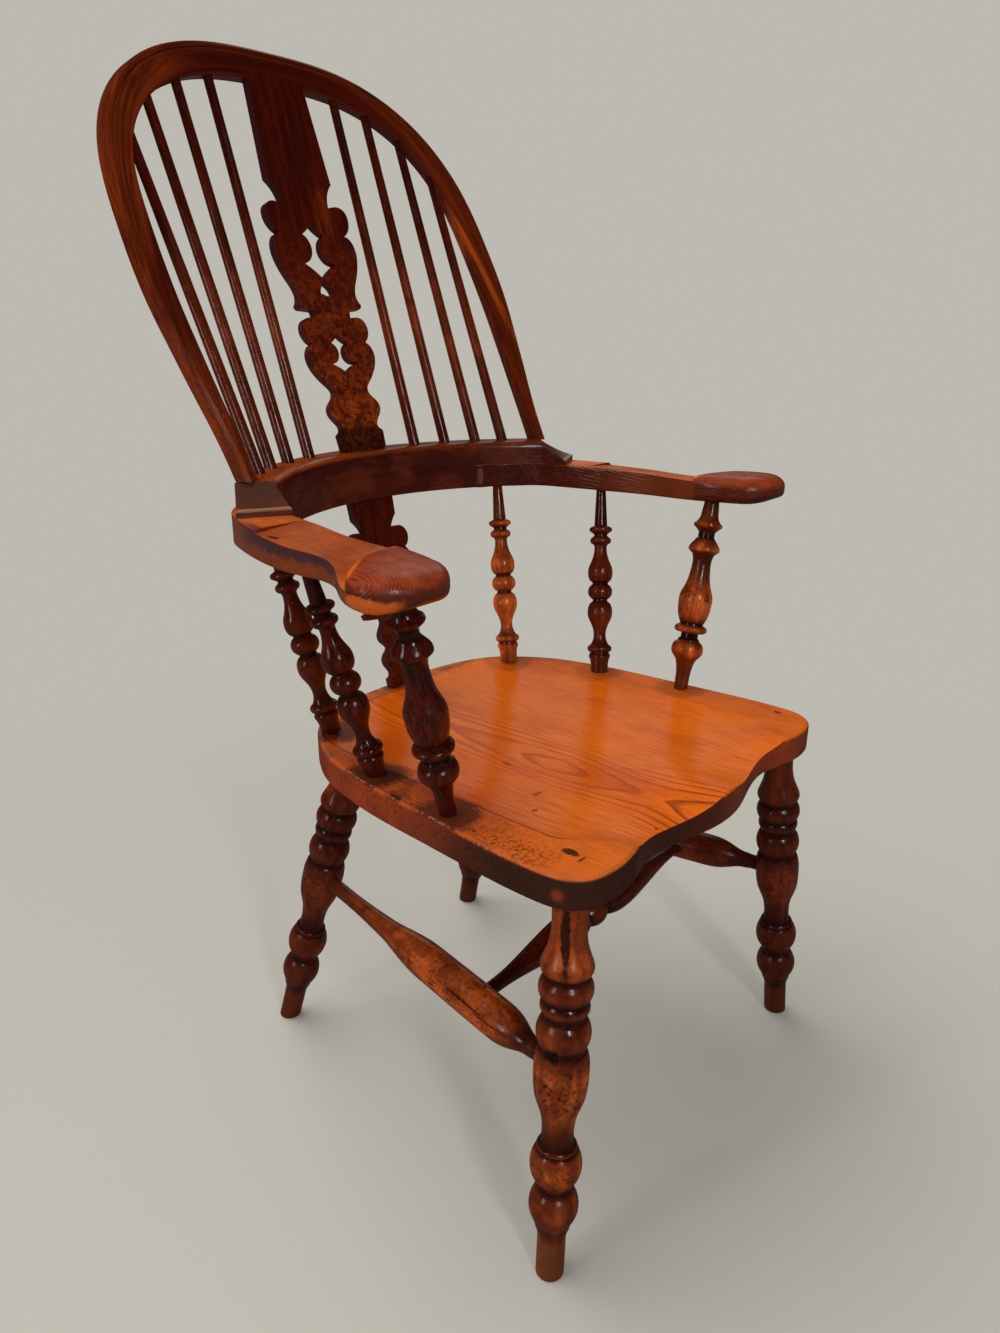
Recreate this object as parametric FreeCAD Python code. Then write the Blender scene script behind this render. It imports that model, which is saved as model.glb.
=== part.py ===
"""High-backed Windsor armchair: saddled seat, turned legs and stretchers, a laminated arm bow on turned
supports, and a bent hoop that holds eight plain sticks and a fretted splat.

Millimetres, +Z up, floor at z = 0, front towards -Y, mirror plane at x = 0. The side with +X is the
sitter's left. The chair is shifted at the end so that the origin is under the middle of its outline.
"""
import FreeCAD
import Part
import math
import os

V = FreeCAD.Vector
os.makedirs("parts", exist_ok=True)

# Seat
seat_height = 430.0
seat_thickness = 32.0
seat_half_width = 242.5
seat_front_reach = 280.5
seat_back_reach = 193.0
seat_top_round = 5.0
seat_bottom_round = 2.5
saddle_depth = 9.5
saddle_rim_side = 54.0
saddle_rim_back = 25.0
saddle_centre_y = -20.0
saddle_squareness = 5.0
pommel_width = 46.0
hollow_roll = 2.0
hollow_roll_reach = 55.0
corner_narrowing = 0.22

# Legs: foot and head of each axis, as distances from the mirror plane and along Y
front_foot = (251.0, -257.0)
front_head = (210.3, -238.1)
rear_foot = (177.0, 230.0)
rear_head = (134.5, 129.5)
rear_leg_girth = 0.95
leg_tenon_diameter = 24.0
leg_tenon_length = 24.0
foot_radius = 13.7
foot_ease = 1.5
tenon_run_in = 10.0

# Stretchers
stretcher_height = 221.0
side_stretcher_end = 17.6
side_stretcher_belly = 40.5
side_stretcher_tenon = 18.0
stretcher_shoulder = 6.0
cross_stretcher_y = -122.6
cross_stretcher_end = 15.0
cross_stretcher_belly = 38.0
cross_stretcher_ball = 34.0
cross_stretcher_neck = 22.4
cross_stretcher_tenon = 15.0

# Arm bow: a flat arc at the back whose sticks stand on stick_radius, then two free arms
arm_underside = 660.6
arm_thickness = 29.1
crest_thickness = 28.1
stick_radius = 332.7
stick_line_back = 247.3
bow_inside = 29.1
bow_outside = 17.3
crest_outside = 12.8
bow_turn_angle = 45.0
lower_joint_angle = 28.3
crest_joint_angle = 25.5
arm_width = 50.0
ramp_lip = 7.0
ramp_rows = 7

# Turned arm supports
support_inset_post = 19.0
support_inset_mid = 22.5
support_inset_rear = 17.0
post_foot_y = -97.8
mid_foot_y = 16.4
rear_foot_angle = 50.0
post_head_y = -93.5
mid_head_y = 56.2
rear_head_angle = 35.0
post_head_setin = 21.0
mid_head_setin = 15.0
post_foot_radius = 8.2
spindle_foot_radius = 10.8
post_tenon_diameter = 14.0
spindle_tenon_diameter = 11.0
seat_tenon_depth = 20.0
arm_tenon_depth = 15.0

# Hoop: it leans back in its own plane and its face is turned inwards, as if bent round a cone
hoop_lean = 27.8
hoop_cone_angle = 13.4
hoop_height = 472.3
hoop_half_width = 250.4
hoop_foot_x = 231.8
hoop_width_top = 33.5
hoop_width_foot = 18.0
hoop_depth = 17.5
hoop_bead = 3.0
hoop_quirk = 1.5
hoop_edge_round = 2.5
hoop_tenon_diameter = 13.0
hoop_tenon_length = 42.0

# Sticks, from the splat outwards: place along the crest and along the hoop
stick_foot_x = (85.8, 127.1, 165.6, 196.6)
stick_head_x = (89.3, 134.9, 179.9, 217.5)
stick_foot_diameter = 13.4
stick_head_diameter = 10.6
stick_foot_depth = 45.0
stick_head_depth = 1.0
stick_straight_foot = 4.0
stick_straight_head = 8.0

# Splats
splat_thickness = 9.5
splat_foot_y = 237.6
splat_tenon_width = 60.0
splat_foot_tenon = 20.0
splat_head_tenon = 10.0
splat_head_forward = 2.0
splat_tenon_run_in = 8.0
lower_splat_foot_y = 178.5
lower_splat_head_y = 231.0
lower_splat_foot_tenon = 15.0
lower_splat_head_tenon = 16.0
lower_splat_tenon_width = 48.0

big = 2000.0
seat_underside = seat_height - seat_thickness
arm_top = arm_underside + arm_thickness
crest_top = arm_top + crest_thickness
bow_centre = V(0, stick_line_back - stick_radius, 0)


def mirrored(shape):
    return shape.mirror(V(0, 0, 0), V(1, 0, 0))


def spline(points):
    curve = Part.BSplineCurve()
    curve.interpolate(Points=points)
    return curve.toShape()


def slab(low, high):
    return Part.makeBox(big, big, high - low, V(-big / 2, -big / 2, low))


def rod(start, direction, length, diameter):
    return Part.makeCylinder(diameter / 2, length, start, direction)


def between(low, high, share):
    return low + (high - low) * share


# Turned work: each profile is a list of moves over shares of the length and real radii


def lathe(start, moves, length, girth=1.0):
    """Solid of revolution about Z. A move is a line to a point, an arc over a point, or a flowing curve."""

    def at(place):
        return V(place[1] * girth, 0, place[0] * length)

    here = at(start)
    edges = [Part.makeLine(V(0, 0, here.z), here)]
    for kind, *places in moves:
        points = [here] + [at(place) for place in places]
        if kind == "line":
            edges.append(Part.makeLine(points[0], points[1]))
        elif kind == "arc":
            edges.append(Part.Arc(points[0], points[1], points[2]).toShape())
        else:
            edges.append(spline(points))
        here = points[-1]
    edges.append(Part.makeLine(here, V(0, 0, here.z)))
    edges.append(Part.makeLine(V(0, 0, here.z), V(0, 0, start[0] * length)))
    return Part.Face(Part.Wire(edges)).revolve(V(0, 0, 0), V(0, 0, 1), 360)


def stood(shape, foot, head):
    """Puts a shape made along Z on the axis from foot to head."""
    placed = shape.copy()
    placed.Placement = FreeCAD.Placement(foot, FreeCAD.Rotation(V(0, 0, 1), head - foot))
    return placed


LEG_TURNING = [
    ("line", (0.095, 13.9)),
    ("curve", (0.118, 14.5), (0.130, 15.8)),
    ("line", (0.136, 17.0)),
    ("curve", (0.152, 18.6), (0.172, 22.2), (0.197, 24.0), (0.220, 22.4), (0.238, 18.6)),
    ("line", (0.241, 17.2)),
    ("line", (0.256, 16.2)),
    ("arc", (0.308, 25.0), (0.350, 20.4)),
    ("line", (0.352, 19.0)),
    ("arc", (0.358, 19.6), (0.364, 18.4)),
    ("line", (0.367, 16.2)),
    ("curve", (0.392, 15.2), (0.430, 16.2), (0.452, 18.2), (0.490, 23.4), (0.530, 25.7), (0.570, 26.1),
     (0.600, 24.9), (0.613, 23.2)),
    ("line", (0.617, 21.6)),
    ("line", (0.627, 21.6)),
    ("arc", (0.662, 25.7), (0.694, 21.6)),
    ("line", (0.697, 20.2)),
    ("line", (0.709, 20.2)),
    ("arc", (0.727, 23.2), (0.741, 21.4)),
    ("line", (0.744, 21.4)),
    ("arc", (0.774, 25.5), (0.797, 22.0)),
    ("line", (0.800, 20.6)),
    ("line", (0.808, 20.6)),
    ("curve", (0.816, 23.8), (0.825, 24.8), (0.838, 23.8), (0.860, 20.4), (0.890, 17.2), (0.930, 16.2),
     (1.040, 16.0)),
]

POST_TURNING = [
    ("line", (0.060, 8.7)),
    ("curve", (0.105, 9.6), (0.148, 12.0)),
    ("curve", (0.168, 15.0), (0.190, 18.9), (0.213, 19.8), (0.236, 18.6), (0.252, 15.4)),
    ("line", (0.256, 13.8)),
    ("line", (0.266, 13.0)),
    ("line", (0.276, 10.6)),
    ("line", (0.298, 10.6)),
    ("line", (0.304, 14.6)),
    ("arc", (0.322, 20.2), (0.340, 16.4)),
    ("line", (0.346, 14.6)),
    ("line", (0.352, 14.4)),
    ("curve", (0.380, 17.4), (0.415, 19.6), (0.455, 20.5), (0.500, 20.2), (0.540, 16.8), (0.590, 13.4),
     (0.640, 11.9), (0.690, 11.7), (0.718, 13.6)),
    ("line", (0.726, 15.6)),
    ("line", (0.738, 19.0)),
    ("curve", (0.750, 19.0), (0.772, 16.4), (0.792, 12.8)),
    ("line", (0.800, 11.6)),
    ("line", (0.806, 10.0)),
    ("line", (0.834, 10.0)),
    ("curve", (0.850, 13.4), (0.862, 16.8)),
    ("line", (0.868, 17.6)),
    ("line", (0.878, 17.2)),
    ("curve", (0.890, 13.8), (0.915, 11.0), (0.940, 10.3)),
    ("line", (1.020, 8.2)),
]

SPINDLE_TURNING = [
    ("line", (0.040, 11.4)),
    ("line", (0.066, 12.6)),
    ("arc", (0.082, 14.0), (0.096, 12.6)),
    ("line", (0.104, 12.2)),
    ("arc", (0.124, 16.0), (0.142, 12.8)),
    ("line", (0.147, 11.6)),
    ("curve", (0.165, 9.4), (0.195, 7.9), (0.225, 8.5), (0.262, 11.6), (0.295, 15.2), (0.328, 16.2),
     (0.358, 15.0), (0.380, 11.4)),
    ("line", (0.385, 9.6)),
    ("line", (0.396, 9.6)),
    ("arc", (0.438, 15.9), (0.478, 10.6)),
    ("line", (0.482, 10.0)),
    ("line", (0.489, 10.4)),
    ("curve", (0.510, 14.8), (0.538, 16.1), (0.568, 15.4), (0.605, 11.8), (0.650, 8.6), (0.688, 8.2)),
    ("line", (0.698, 9.8)),
    ("arc", (0.718, 13.6), (0.736, 10.6)),
    ("line", (0.744, 8.6)),
    ("line", (0.752, 8.6)),
    ("line", (0.764, 12.2)),
    ("arc", (0.780, 14.8), (0.792, 12.2)),
    ("line", (0.800, 8.4)),
    ("line", (1.020, 5.8)),
]


def floor_point(place, height):
    return V(place[0], place[1], height)


def leg_axis(foot, head):
    return floor_point(foot, 0.0), floor_point(head, seat_underside)


def on_axis(axis, height):
    foot, head = axis
    return foot + (head - foot) * ((height - foot.z) / (head.z - foot.z))


front_axis = leg_axis(front_foot, front_head)
rear_axis = leg_axis(rear_foot, rear_head)


def tenon(axis, shoulder, depth, diameter):
    """Round tenon that starts a little inside the piece and reaches depth past its shoulder."""
    foot, head = axis
    along = (head - foot).normalize()
    return rod(shoulder - along * tenon_run_in, along, depth + tenon_run_in, diameter)


def leg_tenon(axis):
    return tenon(axis, axis[1], leg_tenon_length, leg_tenon_diameter)


def make_leg(axis, girth, stretcher_tail):
    foot, head = axis
    blank = lathe((-0.04, foot_radius), LEG_TURNING, (head - foot).Length, girth)
    body = eased(stood(blank, foot, head).common(slab(0.0, seat_underside)), 0.0, foot_ease)
    return body.fuse(leg_tenon(axis)).removeSplitter().cut(stretcher_tail)


# Stretchers run between the leg axes without shoulders, so their ends are their tenons

side_front = on_axis(front_axis, stretcher_height)
side_rear = on_axis(rear_axis, stretcher_height)
leg_belly_radius = 26.2


def side_stretcher_ends():
    along = (side_front - side_rear).normalize()
    reach = leg_belly_radius - side_stretcher_tenon
    return side_rear + along * reach, side_front - along * reach


# Swelling of the side stretcher from its rear end, as shares of the way from its end to its belly
SIDE_SWELLING = [
    (0.225, 0.06), (0.300, 0.20), (0.353, 0.34), (0.408, 0.62), (0.445, 0.80), (0.490, 0.95), (0.560, 0.99),
    (0.680, 1.0), (0.790, 0.985), (0.835, 0.90), (0.867, 0.62), (0.895, 0.26), (0.925, 0.08),
]


def make_side_stretcher():
    rear, front = side_stretcher_ends()
    end = side_stretcher_end / 2
    belly = side_stretcher_belly / 2
    tail = (side_stretcher_tenon + stretcher_shoulder) / (front - rear).Length
    swelling = [(place, between(end, belly, share)) for place, share in SIDE_SWELLING]
    moves = [("line", (tail, end)), ("curve", *swelling), ("line", (1.0 - tail, end)), ("line", (1.0, end))]
    body = stood(lathe((0.0, end), moves, (front - rear).Length), rear, front)
    return body.cut(cross_tail())


def side_tail(at_front):
    rear, front = side_stretcher_ends()
    start, other = (front, rear) if at_front else (rear, front)
    return rod(start, other - start, side_stretcher_tenon + stretcher_shoulder, side_stretcher_end)


def side_point(y):
    share = (y - side_rear.y) / (side_front.y - side_rear.y)
    return side_rear + (side_front - side_rear) * share


def cross_reach():
    """Half length of the cross stretcher, with its tenons."""
    return side_point(cross_stretcher_y).x - side_stretcher_belly / 2 + cross_stretcher_tenon


def cross_tail():
    start = V(cross_reach(), cross_stretcher_y, stretcher_height)
    return rod(start, V(-1, 0, 0), cross_stretcher_tenon + stretcher_shoulder, cross_stretcher_end)


# Swelling of each half of the cross stretcher, in the same shares, from its end towards the middle ball
CROSS_SWELLING = [(0.20, 0.03), (0.40, 0.39), (0.60, 0.83), (0.74, 1.0), (0.84, 0.86), (0.90, 0.50)]


def make_cross_stretcher():
    half = cross_reach()
    end = cross_stretcher_end / 2
    belly = cross_stretcher_belly / 2
    ball = cross_stretcher_ball / 2
    neck = cross_stretcher_neck / 2
    tail = (cross_stretcher_tenon + stretcher_shoulder) / half
    swelling = [(place, between(end, belly, share)) for place, share in CROSS_SWELLING]
    moves = [
        ("line", (tail, end)),
        ("curve", *swelling),
        ("line", (0.905, neck + 0.4)),
        ("line", (0.920, neck)),
        ("arc", (0.955, 0.90 * ball), (1.0, ball)),
    ]
    one = stood(lathe((0.0, end), moves, half), V(half, 0, 0), V(0, 0, 0))
    whole = one.fuse(mirrored(one)).removeSplitter()
    whole.translate(V(0, cross_stretcher_y, stretcher_height))
    return whole


# Seat

SEAT_OUTLINE = [
    (0.0, 1.0), (0.26, 0.993), (0.43, 0.953), (0.573, 0.886), (0.672, 0.798), (0.746, 0.689),
    (0.85, 0.470), (0.902, 0.255), (0.936, 0.026), (0.966, -0.26), (0.993, -0.553), (1.0, -0.790),
    (0.982, -0.880), (0.930, -0.940), (0.845, -0.969), (0.734, -0.973), (0.619, -0.955),
    (0.499, -0.931), (0.384, -0.936), (0.256, -0.961), (0.128, -0.989), (0.0, -1.0),
]


def seat_outline_point(share_x, share_y):
    reach = seat_back_reach if share_y > 0 else seat_front_reach
    return V(share_x * seat_half_width, share_y * reach, seat_underside)


def seat_edge_x(y):
    """Half width of the seat at y, read along the side of its outline."""
    rows = [seat_outline_point(*share) for share in SEAT_OUTLINE[2:12]]
    for back, front in zip(rows, rows[1:]):
        if front.y <= y <= back.y:
            return between(back.x, front.x, (y - back.y) / (front.y - back.y))
    return seat_half_width


def smooth(share):
    share = min(max(share, 0.0), 1.0)
    return share * share * (3.0 - 2.0 * share)


def saddle_z(x, y):
    """Height of the dished surface: below the rim inside the gutter and above it outside."""
    corner = smooth((-y - 0.7 * seat_front_reach) / (0.25 * seat_front_reach))
    narrowed = abs(x) * (1.0 + corner_narrowing * corner)
    across = (narrowed / (seat_half_width - saddle_rim_side)) ** saddle_squareness
    back_reach = seat_back_reach - saddle_rim_back - saddle_centre_y
    along = (max(y - saddle_centre_y, 0.0) / back_reach) ** saddle_squareness
    front = smooth((-y - 0.5 * seat_front_reach) / (0.5 * seat_front_reach))
    pommel = math.exp(-((x / pommel_width) ** 2))
    rolled = hollow_roll * smooth((-y - seat_front_reach + hollow_roll_reach) / hollow_roll_reach)
    dish = saddle_depth * (1.0 - 0.95 * front * pommel) + rolled * (1.0 - pommel)
    return seat_height - dish * (1.0 - across - along)


def saddle_cutter():
    columns = 25
    rows = 25
    grid = []
    for i in range(columns):
        x = between(-1.06, 1.06, i / (columns - 1)) * seat_half_width
        ys = [between(-1.08 * seat_front_reach, 1.15 * seat_back_reach, j / (rows - 1)) for j in range(rows)]
        grid.append([V(x, y, saddle_z(x, y)) for y in ys])
    surface = Part.BSplineSurface()
    surface.interpolate(grid)
    return surface.toShape().extrude(V(0, 0, 4 * seat_thickness))


def eased(board, height, radius):
    """Rounds the long edge that lies at one height."""
    edges = [e for e in board.Edges if abs(e.BoundBox.ZMin - height) + abs(e.BoundBox.ZMax - height) < 0.02]
    return board.makeFillet(radius, edges)


def make_seat(sockets):
    right = [seat_outline_point(*share) for share in SEAT_OUTLINE]
    left = [V(-point.x, point.y, point.z) for point in reversed(right[1:-1])]
    outline = Part.BSplineCurve()
    outline.interpolate(Points=right + left, PeriodicFlag=True)
    blank = Part.Face(Part.Wire([outline.toShape()])).extrude(V(0, 0, seat_thickness))
    board = eased(eased(blank, seat_height, seat_top_round), seat_underside, seat_bottom_round)
    board = board.cut(saddle_cutter())
    for socket in sockets:
        board = board.cut(socket)
    return board


# Arm bow


def bow_point(angle, radius, height):
    turn = math.radians(angle)
    return bow_centre + V(radius * math.sin(turn), radius * math.cos(turn), height)


bow_turn = bow_point(bow_turn_angle, stick_radius, 0.0)

# Free arm: centre of each section from the end of the arc, width in arm widths, turn of the section,
# how far its outer upper corner is rounded across and down, and its share in the swelling of the pad
ARM_STATIONS = [
    (5.7, -21.4, 1.01, 37.8, 1.0, 1.0, 0.0),
    (12.7, -40.9, 1.07, 26.6, 2.0, 1.5, 0.0),
    (19.2, -61.9, 1.14, 20.7, 7.0, 4.0, 0.0),
    (25.8, -85.9, 1.18, 15.0, 11.0, 6.0, 0.0),
    (32.7, -115.9, 1.19, 9.0, 13.0, 7.5, 0.0),
    (37.5, -148.9, 1.12, 3.0, 14.0, 8.0, 0.0),
    (38.4, -179.9, 1.05, 0.0, 14.0, 8.5, 0.1),
    (43.0, -207.9, 1.23, 0.0, 17.0, 10.0, 0.35),
    (52.5, -234.9, 1.61, 0.0, 23.0, 12.0, 0.75),
    (61.2, -257.9, 1.86, 0.0, 28.0, 13.0, 1.0),
    (67.2, -277.9, 1.86, 0.0, 30.0, 14.0, 1.0),
]
# Nose of the pad: the same values, and how much the wood thins above and below
NOSE_STATIONS = [
    (68.6, -287.9, 1.79, 0.0, 29.0, 14.0, 1.0, 0.4),
    (69.2, -297.9, 1.55, 0.0, 27.0, 13.5, 1.0, 1.8),
    (69.2, -305.9, 1.20, 0.0, 22.0, 11.0, 1.0, 4.4),
    (68.9, -310.9, 0.84, 0.0, 15.0, 8.0, 1.0, 7.4),
    (68.7, -313.9, 0.46, 0.0, 8.5, 5.0, 1.0, 10.4),
    (68.6, -315.0, 0.20, 0.0, 3.5, 2.0, 1.0, 12.8),
]
under_round = 4.0
arm_crisp_round = 3.0
pad_dome = 2.5

# Scoop in the arm's top behind the pad: the pad's rear edge in plan, and the falling line of the floor
PAD_REAR_EDGE = [
    (225.0, -76.0), (250.0, -77.0), (277.0, -80.0), (300.0, -88.0), (328.0, -103.0), (366.0, -126.0),
]
SCOOP_FLOOR = [(70.0, 0.8), (38.0, 0.05), (0.0, -0.9), (-40.0, -2.2), (-80.0, -3.4), (-130.0, -4.6)]
scoop_tilt = 0.07


def arc_station(angle, outside):
    radial = bow_point(angle, 1.0, 0.0) - bow_centre
    inner = bow_centre + radial * (stick_radius - bow_inside)
    outer = bow_centre + radial * (stick_radius + outside)
    return inner, outer


def arm_station(row):
    dx, dy, width, turn = row[:4]
    centre = bow_turn + V(dx, dy, 0)
    across = V(math.cos(math.radians(turn)), math.sin(math.radians(turn)), 0) * (arm_width * width / 2)
    return centre - across, centre + across


def bezier(*points):
    curve = Part.BezierCurve()
    curve.setPoles(list(points))
    return curve.toShape()


def bow_section(inner, outer, low, high, corners):
    """Upright section of eight edges. corners: (across, down) for lower inner, lower outer, upper outer,
    upper inner."""
    across = (outer - inner).normalize()
    box = [inner + V(0, 0, low), outer + V(0, 0, low), outer + V(0, 0, high), inner + V(0, 0, high)]
    ways = [(across, V(0, 0, 1)), (across * -1, V(0, 0, 1)), (across * -1, V(0, 0, -1)), (across, V(0, 0, -1))]
    rounds = []
    for corner, (flat, upright), (run, rise) in zip(box, ways, corners):
        rounds.append((corner + flat * run, corner, corner + upright * rise))
    starts_flat = [False, True, False, True]
    edges = []
    for index, (on_flat, corner, on_side) in enumerate(rounds):
        first, last = (on_flat, on_side) if starts_flat[index] else (on_side, on_flat)
        edges.append(bezier(first, corner, last))
        following = rounds[(index + 1) % 4]
        target = following[0] if starts_flat[(index + 1) % 4] else following[2]
        edges.append(Part.makeLine(last, target))
    return Part.Wire(edges)


def square_corners(upper):
    return [(under_round, under_round), (under_round, under_round), upper, upper]


def make_rail():
    sharp = 0.6
    inner, outer = arc_station(-lower_joint_angle, bow_outside)
    face = Part.Face(bow_section(inner, outer, arm_underside, arm_top, square_corners((sharp, sharp))))
    return face.revolve(bow_centre, V(0, 0, -1), 2 * lower_joint_angle)


def arm_section(row, thinning=0.0):
    """Crisp edges behind the pad except the rounded outer upper one; in the pad all four are rounded."""
    inner, outer = arm_station(row)
    across, down, pad = row[4:7]
    crisp = min(arm_crisp_round, across)
    lower = (between(crisp, 0.6 * across, pad), between(crisp, 0.75 * down, pad))
    upper_inner = (between(crisp, across, pad), between(crisp, down, pad))
    corners = [lower, lower, (across, down), upper_inner]
    high = arm_top + pad_dome * pad - thinning
    return bow_section(inner, outer, arm_underside + thinning, high, corners)


def closed_face(curved, corners):
    """Flat face between a flowing curve and straight lines over the corners."""
    straight = [curved[-1]] + corners + [curved[0]]
    return Part.Face(Part.Wire([spline(curved)] + [Part.makeLine(*ends) for ends in zip(straight, straight[1:])]))


def pad_scoop():
    """Hollow of the arm's top that ends in a crisp curved edge where the pad begins."""
    inner_x = PAD_REAR_EDGE[0][0]
    reach = PAD_REAR_EDGE[-1][0] - inner_x
    floor = [V(inner_x, y, arm_top + z) for y, z in SCOOP_FLOOR]
    roof = [V(inner_x, point.y, arm_top + arm_thickness) for point in (floor[-1], floor[0])]
    channel = closed_face(floor, roof).extrude(V(reach, 0, -scoop_tilt * reach))
    rear = [V(x, y, arm_underside) for x, y in PAD_REAR_EDGE]
    back = [V(point.x, SCOOP_FLOOR[0][0], arm_underside) for point in (rear[-1], rear[0])]
    plan = closed_face(rear, back).extrude(V(0, 0, 3 * arm_thickness))
    return channel.common(plan)


def make_arm():
    """Lofted along the bow to the widest place of the pad, then a nose that closes in on all sides."""
    sharp = 0.6
    sections = []
    for angle in (lower_joint_angle, 32.0, 36.0, 40.0, bow_turn_angle - 1.5):
        inner, outer = arc_station(angle, bow_outside)
        sections.append(bow_section(inner, outer, arm_underside, arm_top, square_corners((sharp, sharp))))
    sections += [arm_section(row) for row in ARM_STATIONS]
    nose = [sections[-1]] + [arm_section(row[:7], row[7]) for row in NOSE_STATIONS]
    whole = Part.makeLoft(sections, True, False).fuse(Part.makeLoft(nose, True, False))
    return whole.cut(pad_scoop())


crest_inner_round = (11.0, 8.0)
crest_outer_round = (5.0, 4.0)
ramp_outer_round = (9.0, 8.0)
lip_round = (1.5, 1.0)


def crest_corners(share=1.0, outer_round=crest_outer_round):
    """share runs from 0 at the thin lip to 1 where the crest has its full height."""
    sharp = (0.6, 0.6)
    inner = tuple(between(low, high, share) for low, high in zip(lip_round, crest_inner_round))
    outer = tuple(between(low, high, share) for low, high in zip(lip_round, outer_round))
    return [sharp, sharp, outer, inner]


def make_crest_centre():
    inner, outer = arc_station(-crest_joint_angle, crest_outside)
    face = Part.Face(bow_section(inner, outer, arm_top, crest_top, crest_corners()))
    return face.revolve(bow_centre, V(0, 0, -1), 2 * crest_joint_angle)


def make_crest_end():
    """Arc part of full height, then a ramp that sinks in a hollow curve to a thin lip on the arm."""
    full = []
    for angle in (crest_joint_angle, 30.0, 35.0, 40.0, bow_turn_angle):
        inner, outer = arc_station(angle, crest_outside)
        full.append(bow_section(inner, outer, arm_top, crest_top, crest_corners()))
    inner_start, outer_start = arc_station(bow_turn_angle, crest_outside)
    inner_end, outer_end = arm_station(ARM_STATIONS[1])
    ramp = []
    for row in range(ramp_rows):
        share = row / (ramp_rows - 1)
        inner = inner_start + (inner_end - inner_start) * share
        outer = outer_start + (outer_end - outer_start) * share
        top = arm_top + between(ramp_lip, crest_thickness, (1.0 - share) ** 1.35)
        rounds = ramp_outer_round if row else crest_outer_round
        ramp.append(bow_section(inner, outer, arm_top, top, crest_corners(1.0 - share, rounds)))
    arc = Part.makeLoft(full, True, False)
    slope = Part.makeLoft(ramp, True, False)
    return arc.fuse(slope)


# Turned arm supports


def arm_centre_x(y):
    rows = [(bow_turn.y + row[1], bow_turn.x + row[0]) for row in ARM_STATIONS]
    for back, front in zip(rows, rows[1:]):
        if front[0] <= y <= back[0]:
            return between(back[1], front[1], (y - back[0]) / (front[0] - back[0]))
    return rows[-1][1]


def rear_support_foot():
    x = 0.70 * seat_half_width
    y = 0.772 * seat_back_reach
    turn = math.radians(rear_foot_angle)
    return V(x - support_inset_rear * math.cos(turn), y - support_inset_rear * math.sin(turn), seat_height)


post_axis = (
    V(seat_edge_x(post_foot_y) - support_inset_post, post_foot_y, seat_height),
    V(arm_centre_x(post_head_y) - post_head_setin, post_head_y, arm_underside),
)
mid_axis = (
    V(seat_edge_x(mid_foot_y) - support_inset_mid, mid_foot_y, seat_height),
    V(arm_centre_x(mid_head_y) - mid_head_setin, mid_head_y, arm_underside),
)
rear_support_axis = (rear_support_foot(), bow_point(rear_head_angle, stick_radius - 4.3, arm_underside))


def support_tenons(axis, diameter):
    foot, head = axis
    return [
        tenon((head, foot), foot, seat_tenon_depth, diameter),
        tenon(axis, head, arm_tenon_depth, diameter),
    ]


def make_support(axis, start, turning, diameter):
    foot, head = axis
    blank = lathe((-0.04, start), turning, (head - foot).Length)
    body = stood(blank, foot, head).common(slab(seat_height, arm_underside))
    for peg in support_tenons(axis, diameter):
        body = body.fuse(peg)
    return body.removeSplitter()


# Hoop


hoop_up = V(0, math.sin(math.radians(hoop_lean)), math.cos(math.radians(hoop_lean)))
hoop_back = V(0, math.cos(math.radians(hoop_lean)), -math.sin(math.radians(hoop_lean)))
hoop_foot_angle = math.degrees(math.asin(hoop_foot_x / stick_radius))
hoop_root = V(0, bow_point(hoop_foot_angle, stick_radius, 0.0).y, crest_top)

# Right half of the hoop's centre line: shares of its half width and of its height
HOOP_LINE = [
    (0.0, 1.0), (0.320, 0.992), (0.600, 0.949), (0.818, 0.862), (0.950, 0.738), (0.997, 0.569),
    (1.0, 0.409), (0.967, 0.221),
]


def hoop_point(x, rise):
    return hoop_root + V(x, 0, 0) + hoop_up * rise


def hoop_curve():
    half = [hoop_point(sx * hoop_half_width, sy * hoop_height) for sx, sy in HOOP_LINE]
    half.append(hoop_point(hoop_foot_x, 0.0))
    below = hoop_point(between(half[-2].x, hoop_foot_x, 1.25), -0.055 * hoop_height)
    right = half[1:] + [below]
    left = [V(-p.x, p.y, p.z) for p in reversed(right)]
    curve = Part.BSplineCurve()
    curve.interpolate(Points=left + [half[0]] + right)
    return curve


hoop_line = hoop_curve()


def hoop_width(rise):
    return between(hoop_width_foot, hoop_width_top, smooth(rise / (0.5 * hoop_height)))


def hoop_section(parameter):
    """Rectangle with a bead and a fillet scratched along the outer front edge."""
    centre = hoop_line.value(parameter)
    tangent = hoop_line.tangent(parameter)[0]
    outward = tangent.cross(hoop_back).normalize()
    cone = FreeCAD.Rotation(tangent, hoop_cone_angle)
    across = cone.multVec(outward)
    back = cone.multVec(hoop_back)
    rise = (centre - hoop_root).dot(hoop_up)
    half = hoop_width(rise) / 2
    deep = hoop_depth / 2
    bead = hoop_bead
    quirk = hoop_quirk
    ease = hoop_edge_round
    places = [
        (-half, deep - ease), (-half + ease, deep), (half - ease, deep), (half, deep - ease),
        (half, -deep + bead), (half - bead, -deep), (half - 2 * bead, -deep),
        (half - 2 * bead - quirk / 2, -deep + quirk), (half - 2 * bead - quirk, -deep),
        (half - 3 * bead - quirk, -deep), (half - 3 * bead - 1.5 * quirk, -deep + quirk),
        (-half + ease, -deep + quirk), (-half, -deep + quirk + ease),
    ]
    points = [centre + across * u + back * v for u, v in places]
    return Part.makePolygon(points + [points[0]])


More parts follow.
